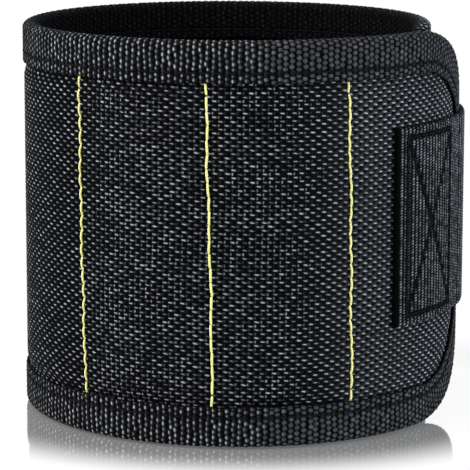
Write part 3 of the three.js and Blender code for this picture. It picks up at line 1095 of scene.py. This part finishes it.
def knot_light(along, knots, light, side):
    """The light and shade painted on each place of the tape, from what pebbles gives and where it lies.
    """
    full = smooth((knots - KNOT_RIM) / KNOT_RIM_WIDTH) * (KNOT_LIGHT + KNOT_LIGHT_SPREAD * light)
    # Painted highlight on the left flank of each knot.
    left_flank = side * np.sign(np.gradient(along))[:, None] + FLANK_SHIFT
    flank = knots**FLANK_POWER * fade(left_flank, FLANK_WIDTH) * light
    # Painted sheen: light from the right lights whole knots more and more towards the flap.
    knot_sheen = smooth((along[:, None] - KNOT_SHEEN_FROM) / (KNOT_SHEEN_FULLY - KNOT_SHEEN_FROM))
    return knot_sheen * full + (1 - knot_sheen) * np.maximum(UNSHEENED_LIGHT * full, FLANK_LIGHT * flank)


print("knots lie", RIB_PITCH, "by", BEAD_PITCH, "mm apart")

# %% [markdown]
# A line of stitches sews the tape down and draws it in a little, and shade is painted into that
# groove. Tape is never sewn on quite straight, so its free edges wobble. Inside the band the tape is
# painted darker, as shade.

# %% The tape along each stretch
RIB_RELIEF = 0.34
POINTS_PER_BEAD = 4
UNDERSIDE_STEP = 2.4
FREE_EDGE = 0.4
TAPE_STITCH_INSET = 7.0
STITCH_LINE_WIDTH = 0.4
STITCH_LINE_DEPTH = 0.1
STITCH_LINE_FLAT = 0.5
STITCH_LINE_DARK = 0.6
TAPE_WOBBLE = ((0.16, 0.83, 0.0), (0.1, 0.31, 1.0))
WOBBLE_INSET = 4.0
INSIDE_FROM = 0.45
INSIDE_RAMP = 0.15
INSIDE_SHADE = 0.7


def tape_mesh(edge):
    """The folded tape's flat shell along one edge."""
    along = edge[0]
    phase = np.arange(len(along))[:, None] / STATIONS_PER_RIB
    wobble = sum(size * np.sin(phase * rate + start) for size, rate, start in TAPE_WOBBLE)
    depth, inset, facing, gone = tape_section(0, BEAD_PITCH / POINTS_PER_BEAD)
    knots, light, side = pebbles(phase, gone[None, :])
    free_edge = smooth((BINDING_WIDTH - inset) / FREE_EDGE)
    drawn = fade(inset - TAPE_STITCH_INSET, STITCH_LINE_WIDTH)
    sunk = RIB_RELIEF * (1 - knots * free_edge * (1 - STITCH_LINE_FLAT * drawn))
    sunk = sunk + STITCH_LINE_DEPTH * drawn
    across = inset - sunk * facing[:, 1] + wobble * smooth((inset - WOBBLE_INSET) / WOBBLE_INSET)
    front = on_edge(edge, across, depth - sunk * facing[:, 0])
    # Painted shade: darker along the drawn-in stitch line and on the inner leg of the tape.
    inside = smooth((gone / gone[-1] - INSIDE_FROM) / INSIDE_RAMP)
    crest = knot_light(along, knots, light, side) * free_edge
    crest = crest * (1 - STITCH_LINE_DARK * drawn) * (1 - INSIDE_SHADE * inside)
    depth, inset = tape_section(BINDING_THICKNESS, UNDERSIDE_STEP)[:2]
    across = inset + wobble * smooth((inset - WOBBLE_INSET) / WOBBLE_INSET)
    return shell("tape", front, on_edge(edge, across, depth), crest)


def tape_of(stretch):
    """The tape along all edges of a stretch, as one flat mesh."""
    work = bmesh.new()
    for edge in edges_of(stretch):
        part = tape_mesh(edge)
        work.from_mesh(part)
        bpy.data.meshes.remove(part)
    mesh = bpy.data.meshes.new("tape")
    bmesh.ops.recalc_face_normals(work, faces=work.faces)
    work.to_mesh(mesh)
    work.free()
    return mesh


for stretch in stretches:
    binding = make("binding_" + stretch.name, tape_of(stretch), roll_up, tape)
    seat(binding, stretch.bodies, stretch.bend)
    for part in stretch.nodes:
        ends = ("edge",) if part in ("flap", "inner_end") else ("bottom", "top")
        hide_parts(*(f"{end}_binding_{part}" for end in ends))

# %% [markdown]
# ## Stitches
#
# A stitch is a short arch of thread whose ends go down into the cloth. The tree takes a path drawn
# on the flat cloth, sets a point at each stitch, lays an arch along the path there, and rolls the
# row up with the rest. No two stitches lie quite alike, so each turns a little, by a fixed seed.

# %% Short bent tubes, turned by chance
def curl(tree, thread, sides, first, middle, last, resolution):
    """A short tube from one place to another, bent towards a third."""
    bow = {"Resolution": resolution, "Start": first, "Middle": middle, "End": last}
    line = add(tree, "GeometryNodeCurveQuadraticBezier", bow)
    ring = add(tree, "GeometryNodeCurvePrimitiveCircle", {"Resolution": sides, "Radius": thread})
    tube = {"Curve": out(line), "Profile Curve": out(ring), "Fill Caps": True}
    return out(add(tree, "GeometryNodeCurveToMesh", tube))


def spun(tree, given, rotation, low, high):
    """A rotation that is turned on about its own Z axis, by chance between two angles."""
    angle = add(tree, "FunctionNodeRandomValue", {2: low, 3: high, "Seed": out(given, "Seed")},
                data_type="FLOAT")
    twist = add(tree, "FunctionNodeEulerToRotation", {0: spot(tree, z=out(angle, 1))})
    both = {0: rotation, 1: out(twist)}
    return out(add(tree, "FunctionNodeRotateRotation", both, rotation_space="LOCAL"))


def paths_mesh(paths):
    """A flat mesh of open lines, one for each array of points."""
    mesh = bpy.data.meshes.new("paths")
    points = np.concatenate(paths)
    ends = np.cumsum([len(path) for path in paths])
    lines = [(i, i + 1) for i in range(len(points) - 1) if i + 1 not in ends]
    mesh.from_pydata(points.tolist(), lines, [])
    return mesh


print("stitches, hooks and loops are all curls")

# %% [markdown]
# The tree has the thread, the stitch and its slant as inputs, so the same tree sews every seam. Its
# Facing is 1 on the outer face of the cloth and -1 on the inner one.

# %% The tree that sews along a path
STITCH_SIDES = 6
STITCH_STEPS = 6
STITCH_SINK = 0.9


def make_sewing():
    """Rows of stitches along the lines of a flat mesh, on the outer or the inner face."""
    sizes = {"Pitch": 2.75, "Length": 2.5, "Thread": 0.3, "Rise": 0.3, "Slant": 0.1, "Facing": 1.0,
             "Seed": 3, "Material": None}
    tree, given, made = new_tree("sew_along", sizes)
    thread, slant = out(given, "Thread"), out(given, "Slant")
    path = add(tree, "GeometryNodeMeshToCurve", {"Mesh": out(given)})
    points = add(tree, "GeometryNodeResampleCurve",
                 {"Curve": out(path), "Length": out(given, "Pitch")}, mode="LENGTH")
    half = out(given, "Length") * 0.5
    low = thread * -STITCH_SINK
    first, last = spot(tree, half * -1.0, z=low), spot(tree, half, z=low)
    middle = spot(tree, z=out(given, "Rise") * 2.0 - low)
    stitch = curl(tree, thread, STITCH_SIDES, first, middle, last, STITCH_STEPS)
    axes = {"Primary Axis": spot(tree, y=out(given, "Facing") * -1.0),
            "Secondary Axis": out(add(tree, "GeometryNodeInputTangent"))}
    lie = add(tree, "FunctionNodeAxesToRotation", axes, primary_axis="Z", secondary_axis="X")
    rotation = spun(tree, given, out(lie), slant * -1.0, slant)
    row = add(tree, "GeometryNodeInstanceOnPoints",
              {"Points": out(points), "Instance": stitch, "Rotation": rotation})
    return end_tree(tree, given, made, out(row))


sew_along = make_sewing()
print("sew_along has", len(sew_along.nodes), "nodes")

# %% [markdown]
# The yellow seams stand on the cover, beside each fold, and lean a little as they were sewn. The
# dark line along the tape is sewn through the whole wall, so it shows outside and inside.

# %% Yellow seams and the tape's stitch line
SEAM_LEAN = 0.02
SEAM_WANDER = ((0.14, 2.9), (0.1, 9.0))
SEAM_MARGIN = 1.2
SEAM_LIFT = 0.02
SEAM_STEP = 1.0
TAPE_STITCH_SINK = 0.12

for number, seam in enumerate(seams, start=1):
    place = seam - THREAD_SETBACK
    margin = BINDING_WIDTH + SEAM_MARGIN
    height = steps(margin, BAND_HEIGHT - margin, SEAM_STEP)
    line = place + SEAM_LEAN * (MIDDLE - height)
    wander = sum(size * np.sin(height / rise + count * number)
                 for count, (size, rise) in enumerate(SEAM_WANDER, start=1))
    path = places(line + wander, skin_depth(line, height) - SEAM_LIFT, height)
    stretch = next(s for s in stretches if s.low < place < s.high)
    row = make(f"yellow_seam_{number}", paths_mesh([path]), sew_along, yellow_thread,
               Pitch=3.0, Length=2.9, Thread=0.27, Rise=0.2, Slant=0.1, Seed=number)
    seat(row, stretch.bodies, stretch.bend)
    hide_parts(f"magnet_seam_{number}")

tape_faces = (("outside", BINDING_OUTSIDE + TAPE_STITCH_SINK, 1.0),
              ("inside", BINDING_INSIDE - TAPE_STITCH_SINK, -1.0))
for stretch in stretches:
    for side, depth, facing in tape_faces:
        lines = [on_edge(edge, TAPE_STITCH_INSET, depth)[:, 0] for edge in edges_of(stretch)]
        row = make(f"tape_stitches_{stretch.name}_{side}", paths_mesh(lines), sew_along, dark_thread,
                   Pitch=2.6, Length=2.1, Thread=0.15, Rise=0.05, Slant=0.05, Facing=facing, Seed=11)
        seat(row, stretch.bodies, stretch.bend)

# %% [markdown]
# ## The strap
#
# The strap is stiff webbing, sewn on the flap with a box and a cross. It lies on the flap, climbs
# over the binding at the flap's end and drops onto the loop patch. It could be a sheet that is draped
# by a cloth simulation, but stiff webbing hardly sags, so its line is worked out.

# %% The strap's line and its seam
STRAP_WIDTH = 45.0
STRAP_HEIGHT = MIDDLE + 1.9
STRAP_THICKNESS = 1.0
STRAP_START = 36.0
STRAP_TIP = FLAP_REACH + 52.0
STRAP_CORNER = 9.0
STRAP_SEAT = 0.3
STRAP_DROP = 17.0
STRAP_ON_PATCH = 4.1
EDGE_CLEARANCE = 0.3
BOX_MARGIN = 2.4
BOX_START = 39.8
BOX_END = 58.5
GROOVE_WIDTH = 0.55
half_strap = STRAP_WIDTH / 2
tape_corner = FLAP_CORNER - BINDING_WIDTH
climb_end = FLAP_REACH - FLAP_CORNER - EDGE_CLEARANCE
climb_end += math.sqrt(tape_corner**2 - (FLAP_CORNER - BAND_HEIGHT + STRAP_HEIGHT + half_strap) ** 2)
climb_start = climb_end - PINCH_SLOPE


def strap_underside(along):
    """Depth under the strap: on the flap, up over the end binding, then down to the loop patch."""
    lift = smooth((along - climb_start) / (climb_end - climb_start))
    drop = smooth((along - folds["strap"]) / STRAP_DROP)
    on_flap = -STRAP_SEAT + lift * BINDING_OUTSIDE
    return on_flap + drop * (STRAP_ON_PATCH - on_flap)


def strap_half(along):
    """Half the strap's width, which narrows round the corners of its tip."""
    over = np.clip(along - (STRAP_TIP - STRAP_CORNER), 0, STRAP_CORNER)
    return half_strap - STRAP_CORNER + np.sqrt(STRAP_CORNER**2 - over**2)


def box_and_cross():
    """The seam's lines on the strap, as start and end points along and up it."""
    low, high = STRAP_HEIGHT - half_strap + BOX_MARGIN, STRAP_HEIGHT + half_strap - BOX_MARGIN
    corners = [(BOX_START, low), (BOX_END, low), (BOX_END, high), (BOX_START, high)]
    box = [(corners[i], corners[(i + 1) % 4]) for i in range(4)]
    return box + [(corners[0], corners[2]), (corners[1], corners[3])]


def seam_groove(along, height):
    """How strongly the nearest line of the seam draws the strap in, from 0 to 1."""
    nearest = np.full(along.shape, np.inf)
    for (a, b), (c, d) in box_and_cross():
        way = np.array((c - a, d - b))
        share = np.clip(((along - a) * way[0] + (height - b) * way[1]) / way.dot(way), 0, 1)
        nearest = np.minimum(nearest, np.hypot(along - a - share * way[0], height - b - share * way[1]))
    return fade(nearest, GROOVE_WIDTH)


print("the strap climbs from", round(climb_start, 1), "to", round(climb_end, 1), "mm")

# %% [markdown]
# The webbing's ribs lie across the strap, with slanting beads on them, and light is painted on their
# crests. Its long edges and its tip are rounded, and where it starts, its cut end is turned under.
# The seam draws it in. The seam's groove, the rounded edges and the turned-under end are painted
# dark, as shade.

# %% The strap's webbing
STRAP_RIB = 1.3
STRAP_BEAD = 0.64
STRAP_SLANT = 0.5
STRAP_RELIEF = 0.3
STRAP_HEM = 1.6
STRAP_EDGE = 0.9
EDGE_FOLD = 0.5
DEEPEST_FOLD = 0.9
YARN_ROUND = 0.8
BEAD_SHARE = 0.45
BEAD_LIGHT = 0.7
RIB_LIGHT_POWER = 1.7
BEAD_LIGHT_POWER = 1.9
HEM_SHADE = 0.6
GROOVE_DEPTH = 0.35
POINTS_PER_STRAP_RIB = 4.6
POINTS_PER_STRAP_BEAD = 3.8
UNDERSIDE_POINTS = 9
PEEL_REACH = 11.0
PEEL_LEAD = 0.5


def round_over(share):
    """How far a quarter round has dropped, from 1 at the very edge to 0 where it ends."""
    return 1 - np.sqrt(np.clip(1 - (1 - share) ** 2, 0, 1))


def strap_grid(along, share):
    """Places along and up the strap, for shares from -1 to 1 of its half width."""
    height = STRAP_HEIGHT + share[None, :] * strap_half(along)[:, None]
    return np.broadcast_to(along[:, None], height.shape), height


def strap_mesh():
    """The strap's flat shell, with its ribs on the outside."""
    along = steps(STRAP_START, STRAP_TIP, STRAP_RIB / POINTS_PER_STRAP_RIB)
    grid, height = strap_grid(along, steps(-1, 1, STRAP_BEAD / POINTS_PER_STRAP_BEAD / half_strap))
    rib = np.abs(np.cos(math.pi * grid / STRAP_RIB)) ** YARN_ROUND
    slant = STRAP_SLANT * grid / STRAP_RIB
    bead = np.abs(np.cos(math.pi * (height / STRAP_BEAD - slant))) ** YARN_ROUND
    groove = seam_groove(grid, height)
    edge = np.minimum(half_strap - np.abs(height - STRAP_HEIGHT), STRAP_TIP - grid)
    rounded = round_over(np.clip(edge / STRAP_EDGE, 0, 1))
    into_hem = np.clip((grid - STRAP_START) / STRAP_HEM, 0, 1)
    fold = np.clip(np.maximum(rounded * EDGE_FOLD, round_over(into_hem)), 0, DEEPEST_FOLD)
    relief = rib * (1 - BEAD_SHARE + BEAD_SHARE * bead) * (1 - groove) * (1 - fold)
    top = strap_underside(grid) - STRAP_THICKNESS * (1 - fold)
    top = top + STRAP_RELIEF * (1 - relief) * (1 - fold) + GROOVE_DEPTH * groove
    front = places(grid, top, height)
    pick = yarn_at(np.round(grid / STRAP_RIB), np.round(height / STRAP_BEAD))
    crest = 1 - BEAD_LIGHT + BEAD_LIGHT * bead**BEAD_LIGHT_POWER
    crest = rib**RIB_LIGHT_POWER * crest * yarn_light[pick]
    # Painted shade: the seam's groove, the rounded edges and the turned-under hem go dark.
    crest = crest * (1 - groove) * (1 - fold) * smooth((1 + HEM_SHADE) * into_hem - HEM_SHADE)
    grid, height = strap_grid(along, np.linspace(-1, 1, UNDERSIDE_POINTS))
    back = places(grid, strap_underside(grid), height)
    return without_doubles(shell("strap", front, back, crest))


strap_bodies = ("band_flap", "strap")
strap_bend = (folds["strap"] - PEEL_LEAD, folds["strap"] + PEEL_REACH)
strap = make("webbing_strap", strap_mesh(), roll_up, webbing)
seat(strap, strap_bodies, strap_bend)
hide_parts("strap_anchor", "strap_tongue")

# %% [markdown]
# The box and the cross are sewn with dark thread, which lies down in the groove that it draws.

# %% The strap's stitches
BOX_THREAD_SINK = 0.45
LINE_END = 0.02
LINE_POINTS = 40
line_share = np.linspace(LINE_END, 1 - LINE_END, LINE_POINTS)

lines = []
for (a, b), (c, d) in box_and_cross():
    along, height = a + line_share * (c - a), b + line_share * (d - b)
    depth = strap_underside(along) - STRAP_THICKNESS + BOX_THREAD_SINK
    lines.append(places(along, depth, height))
sewn = make("strap_stitches", paths_mesh(lines), sew_along, dark_thread,
            Pitch=2.6, Length=2.3, Thread=0.22, Rise=0.14, Slant=0.05, Seed=5)
seat(sewn, strap_bodies, strap_bend)

# %% [markdown]
# ## Hook tape and loop patch
#
# The strap's free end carries a moulded tape with rows of small hooks, and the band carries a
# patch of pile for them to catch in. Both trees take a thin flat base, set a great many simple
# curls on its face, and roll base and curls up together. Hair could make the pile too, but it is
# not a mesh, and these loops are.

# %% The tree for the pile
CURL_ROOT = -0.05
LOOP_HALF = 0.45
LOOP_SKEW = 0.15
LOOP_BOW = 1.9
LOOP_SIDES = 3
LOOP_STEPS = 5
FACES_OUT = -0.9
FULL_TURN = 2 * math.pi
OUTWARDS = (math.pi / 2, 0, 0)


def set_curls(tree, given, made, points, instance, upright):
    """Sets curls on points, each turned by chance, and rolls them up with their base."""
    stand = add(tree, "FunctionNodeEulerToRotation", {0: upright})
    rotation = spun(tree, given, out(stand), 0.0, FULL_TURN)
    field = add(tree, "GeometryNodeInstanceOnPoints",
                {"Points": points, "Instance": instance, "Rotation": rotation})
    joined = tree.nodes.new("GeometryNodeJoinGeometry")
    for part in (field.outputs[0], given.outputs[0]):
        tree.links.new(part, joined.inputs[0])
    return end_tree(tree, given, made, out(joined))


def make_pile():
    """Loops of thread spread over the outer face of a flat base."""
    sizes = {"Density": 1.1, "Height": 0.5, "Thread": 0.09, "Seed": 21, "Material": None}
    tree, given, made = new_tree("loop_pile", sizes)
    outer = add(tree, "ShaderNodeSeparateXYZ", {0: out(add(tree, "GeometryNodeInputNormal"))})
    faces = add(tree, "FunctionNodeCompare", {0: out(outer, 1), 1: FACES_OUT},
                data_type="FLOAT", operation="LESS_THAN")
    spread = {"Mesh": out(given), "Selection": out(faces), "Density": out(given, "Density"),
              "Seed": out(given, "Seed")}
    points = add(tree, "GeometryNodeDistributePointsOnFaces", spread)
    first, last = (-LOOP_HALF, 0, CURL_ROOT), (LOOP_HALF, LOOP_SKEW, CURL_ROOT)
    top = spot(tree, z=out(given, "Height") * LOOP_BOW)
    loop = curl(tree, out(given, "Thread"), LOOP_SIDES, first, top, last, LOOP_STEPS)
    return set_curls(tree, given, made, out(points), loop, OUTWARDS)


pile_tree = make_pile()
print("loop_pile has", len(pile_tree.nodes), "nodes")

# %% [markdown]
# The pile's loops are spread by chance, but hooks are moulded in even rows, so they stand on a grid.

# %% The tree for the hooks
HOOK_BOW = 1.75
HOOK_REACH = 0.62
HOOK_TIP = 0.3
HOOK_SIDES = 5
HOOK_STEPS = 6
INWARDS = (-math.pi / 2, 0, 0)


def make_hooks():
    """Rows of small hooks on the inner face of a flat base."""
    sizes = {"Start": 0.0, "End": 10.0, "Width": 10.0, "Depth": 0.0, "Middle": STRAP_HEIGHT,
             "Pitch": 1.4, "Height": 0.5, "Thread": 0.13, "Seed": 31, "Material": None}
    tree, given, made = new_tree("moulded_hooks", sizes)
    start, end, width, pitch = (out(given, size) for size in ("Start", "End", "Width", "Pitch"))
    length = end - start
    rows = {"Size X": length - pitch, "Size Y": width - pitch,
            "Vertices X": (length / pitch).calc("FLOOR"), "Vertices Y": (width / pitch).calc("FLOOR")}
    field = add(tree, "GeometryNodeMeshGrid", rows)
    centre = spot(tree, (start + end) * 0.5, out(given, "Depth"), out(given, "Middle"))
    placed = add(tree, "GeometryNodeTransform",
                 {"Geometry": out(field), "Translation": centre, "Rotation": OUTWARDS})
    top = spot(tree, z=out(given, "Height") * HOOK_BOW)
    tip = spot(tree, HOOK_REACH, z=out(given, "Height") * HOOK_TIP)
    hook = curl(tree, out(given, "Thread"), HOOK_SIDES, (0, 0, CURL_ROOT), top, tip, HOOK_STEPS)
    return set_curls(tree, given, made, out(placed), hook, INWARDS)


hook_tree = make_hooks()
print("moulded_hooks has", len(hook_tree.nodes), "nodes")

# %% [markdown]
# The hook tape starts where the strap has come down to the patch. The patch starts a little before
# it, so that the strap can be closed wider or tighter.

# %% The closure's two faces
HOOK_MARGIN = 2.0
HOOK_TIP_MARGIN = 7.0
CLOSURE_SEAT = 0.2
BASE_THICKNESS = 0.45
BASE_STEP = 1.5
CURL_HEIGHT = 0.5
PATCH_MARGIN = 2.0
PATCH_LEAD = 6.0
PATCH_SETBACK = 0.2


def base_mesh(low, high, half, outer, inner):
    """A thin flat base for hooks or pile, in short steps so that it can roll."""
    along = steps(low, high, BASE_STEP)
    rows = np.array((STRAP_HEIGHT - half, STRAP_HEIGHT + half))
    grid, height = np.meshgrid(along, rows, indexing="ij")
    front, back = places(grid, outer, height), places(grid, inner, height)
    return shell("base", front, back, np.zeros(grid.shape))


hook_start = folds["strap"] + STRAP_DROP
hook_end = STRAP_TIP - HOOK_TIP_MARGIN
hook_outer = STRAP_ON_PATCH + CLOSURE_SEAT
hook_half = half_strap - HOOK_MARGIN
hook_face = hook_outer + BASE_THICKNESS
hook_base = base_mesh(hook_start, hook_end, hook_half, hook_outer, hook_face)
hooks = make("hook_field", hook_base, hook_tree, hook_plastic, Start=hook_start, End=hook_end,
             Width=2 * hook_half, Depth=hook_face, Height=CURL_HEIGHT)
seat(hooks, ("strap",))
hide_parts("hook_tape")

patch_start = along_at(turn_at(hook_start - PATCH_LEAD) - 2 * math.pi)
patch_base = base_mesh(patch_start, folds["back"] - PATCH_SETBACK, half_strap + PATCH_MARGIN,
                       -CLOSURE_SEAT - BASE_THICKNESS, -CLOSURE_SEAT)
patch = make("loop_field", patch_base, pile_tree, loop_pile, Height=CURL_HEIGHT)
seat(patch, stretches[-1].bodies, stretches[-1].bend)
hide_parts("loop_patch_back", "loop_patch_inner_end")

# %% [markdown]
# ## Floor, light and camera
#
# The floor is plain and pale, and keeps the band's shadow. To the camera, floor and background
# are white, which does not change the light on the cloth. Close to the band the floor is polished, so
# that the band's lower edge is mirrored in it and fades out.

# %% The floor
FLOOR_HALF = 3.0
FLOOR_DROP = 0.2 * MM
FLOOR_COLOUR = (0.9, 0.9, 0.9, 1)
WHITE = (1, 1, 1, 1)
FADE_OVAL = (0.9, 1.0, 1.0)
SHADOW_REACH = (0.05, 0.09)
SHADOW_SHARE = 0.45
MIRROR_REACH = (0.053, 0.075)
MIRROR_SHARE = 0.79
POLISH_ROUGHNESS = 0.06


def floor_material():
    """White to the camera from a little way off, lit and polished close to the band."""
    material, tree, principled = new_material("pale_floor", Roughness=0.5, Specular_IOR_Level=0.2,
                                              Base_Color=FLOOR_COLOUR)
    white = add(tree, "ShaderNodeEmission", {"Color": WHITE, "Strength": 1.0})
    polish = add(tree, "ShaderNodeBsdfGlossy", {"Color": WHITE, "Roughness": POLISH_ROUGHNESS})
    place = out(add(tree, "ShaderNodeTexCoord"), "Object")
    oval = out(add(tree, "ShaderNodeVectorMath", {0: place, 1: FADE_OVAL}, operation="MULTIPLY"))
    away = out(add(tree, "ShaderNodeVectorMath", {0: oval}, operation="LENGTH"), "Value")
    camera_ray = out(add(tree, "ShaderNodeLightPath"), "Is Camera Ray")
    bare = camera_ray * (ramp(tree, away, *SHADOW_REACH) * SHADOW_SHARE + (1 - SHADOW_SHARE))
    lit = add(tree, "ShaderNodeMixShader", {0: bare, 1: out(principled), 2: out(white)})
    mirrored = camera_ray * (ramp(tree, away, *MIRROR_REACH) * -MIRROR_SHARE + MIRROR_SHARE)
    mixed = add(tree, "ShaderNodeMixShader", {0: mirrored, 1: out(lit), 2: out(polish)})
    surface = next(node for node in tree.nodes if node.type == "OUTPUT_MATERIAL")
    plug(surface.inputs["Surface"], out(mixed))
    return material


floor_mesh = bpy.data.meshes.new("floor")
floor_corners = [(x * FLOOR_HALF, y * FLOOR_HALF, -FLOOR_DROP)
                 for x, y in ((-1, -1), (1, -1), (1, 1), (-1, 1))]
floor_mesh.from_pydata(floor_corners, [], [(0, 1, 2, 3)])
floor_mesh.materials.append(floor_material())
floor = bpy.data.objects.new("floor", floor_mesh)
bpy.context.scene.collection.objects.link(floor)
print("floor", 2 * FLOOR_HALF, "m wide")

# %% [markdown]
# The world is a dim even light. Only to the camera, and in what is polished or clear, is it white.

# %% The world
AMBIENT = 0.3
world = bpy.data.worlds.new("studio")
bpy.context.scene.world = world
world.use_nodes = True
sky = world.node_tree
background = next(node for node in sky.nodes if node.type == "BACKGROUND")
ray = add(sky, "ShaderNodeLightPath")
seen = out(ray, "Is Camera Ray").calc("MAXIMUM", out(ray, "Is Transmission Ray"))
seen = seen.calc("MAXIMUM", out(ray, "Is Glossy Ray"))
background.inputs["Color"].default_value = WHITE
plug(background.inputs["Strength"], seen * (1 - AMBIENT) + AMBIENT)
print("ambient light", AMBIENT)

# %% [markdown]
# Large soft lamps stand to the upper left, to the right and above, so that the crests of the black
# yarns catch them. The one at the right is cooler, as daylight from a window is.

# %% Lamps
Lamp = namedtuple("Lamp", "name azimuth elevation distance size power colour")
LAMPS = [
    Lamp("key_upper_left", -62, 44, 0.75, 0.5, 5.3, (1.0, 0.99, 0.97)),
    Lamp("side_left", -80, 30, 0.7, 0.4, 1.7, (1.0, 1.0, 1.0)),
    Lamp("fill_right", 68, 15, 0.7, 0.4, 3.8, (0.84, 0.92, 1.0)),
    Lamp("top", 0, 86, 0.8, 0.6, 2.0, (1.0, 1.0, 1.0)),
]
target = Vector((0, 0, MIDDLE * MM))


def around(azimuth, elevation, distance):
    """An offset from the band. Azimuth 0 is straight in front of it, and 90 to its right."""
    a, e = math.radians(azimuth), math.radians(elevation)
    return distance * Vector((math.sin(a) * math.cos(e), -math.cos(a) * math.cos(e), math.sin(e)))


for lamp in LAMPS:
    light = bpy.data.lights.new(lamp.name, "AREA")
    light.size = lamp.size
    light.energy = lamp.power
    light.color = lamp.colour
    stand = bpy.data.objects.new(lamp.name, light)
    stand.location = target + around(lamp.azimuth, lamp.elevation, lamp.distance)
    stand.rotation_mode = "QUATERNION"
    stand.rotation_quaternion = (target - stand.location).to_track_quat("-Z", "Y")
    bpy.context.scene.collection.objects.link(stand)
print(len(LAMPS), "lamps")

# %% [markdown]
# The camera stands where the photograph was taken from. Its distance and its angles were fitted to
# the band's edges and seams in the picture, and the lens is shifted so that the middle of the roll
# falls on its place there.

# %% Camera at the photograph's angle
PHOTO_SIDE = 470
SENSOR_WIDTH = 36.0
CAMERA_DISTANCE = 610.7 * MM
CAMERA_AZIMUTH = -2.61
CAMERA_ELEVATION = 9.74
CAMERA_ROLL = 0.09
FOCAL_PIXELS = 2586.0
RING_CENTRE = Vector((*ROLL_AXIS, MIDDLE)) * MM
RING_CENTRE_PIXEL = (234.2, 208.3)

camera_data = bpy.data.cameras.new("camera")
camera_data.sensor_width = SENSOR_WIDTH
camera_data.lens = FOCAL_PIXELS / PHOTO_SIDE * SENSOR_WIDTH
camera_data.shift_x = (PHOTO_SIDE / 2 - RING_CENTRE_PIXEL[0]) / PHOTO_SIDE
camera_data.shift_y = (RING_CENTRE_PIXEL[1] - PHOTO_SIDE / 2) / PHOTO_SIDE
camera = bpy.data.objects.new("camera", camera_data)
camera.location = RING_CENTRE + around(CAMERA_AZIMUTH, CAMERA_ELEVATION, CAMERA_DISTANCE)
camera.rotation_mode = "QUATERNION"
facing = (RING_CENTRE - camera.location).to_track_quat("-Z", "Y")
camera.rotation_quaternion = facing @ Quaternion((0, 0, 1), math.radians(CAMERA_ROLL))
bpy.context.scene.collection.objects.link(camera)
bpy.context.scene.camera = camera
bpy.context.scene.view_settings.view_transform = "Standard"
print("lens", round(camera_data.lens, 1), "mm")
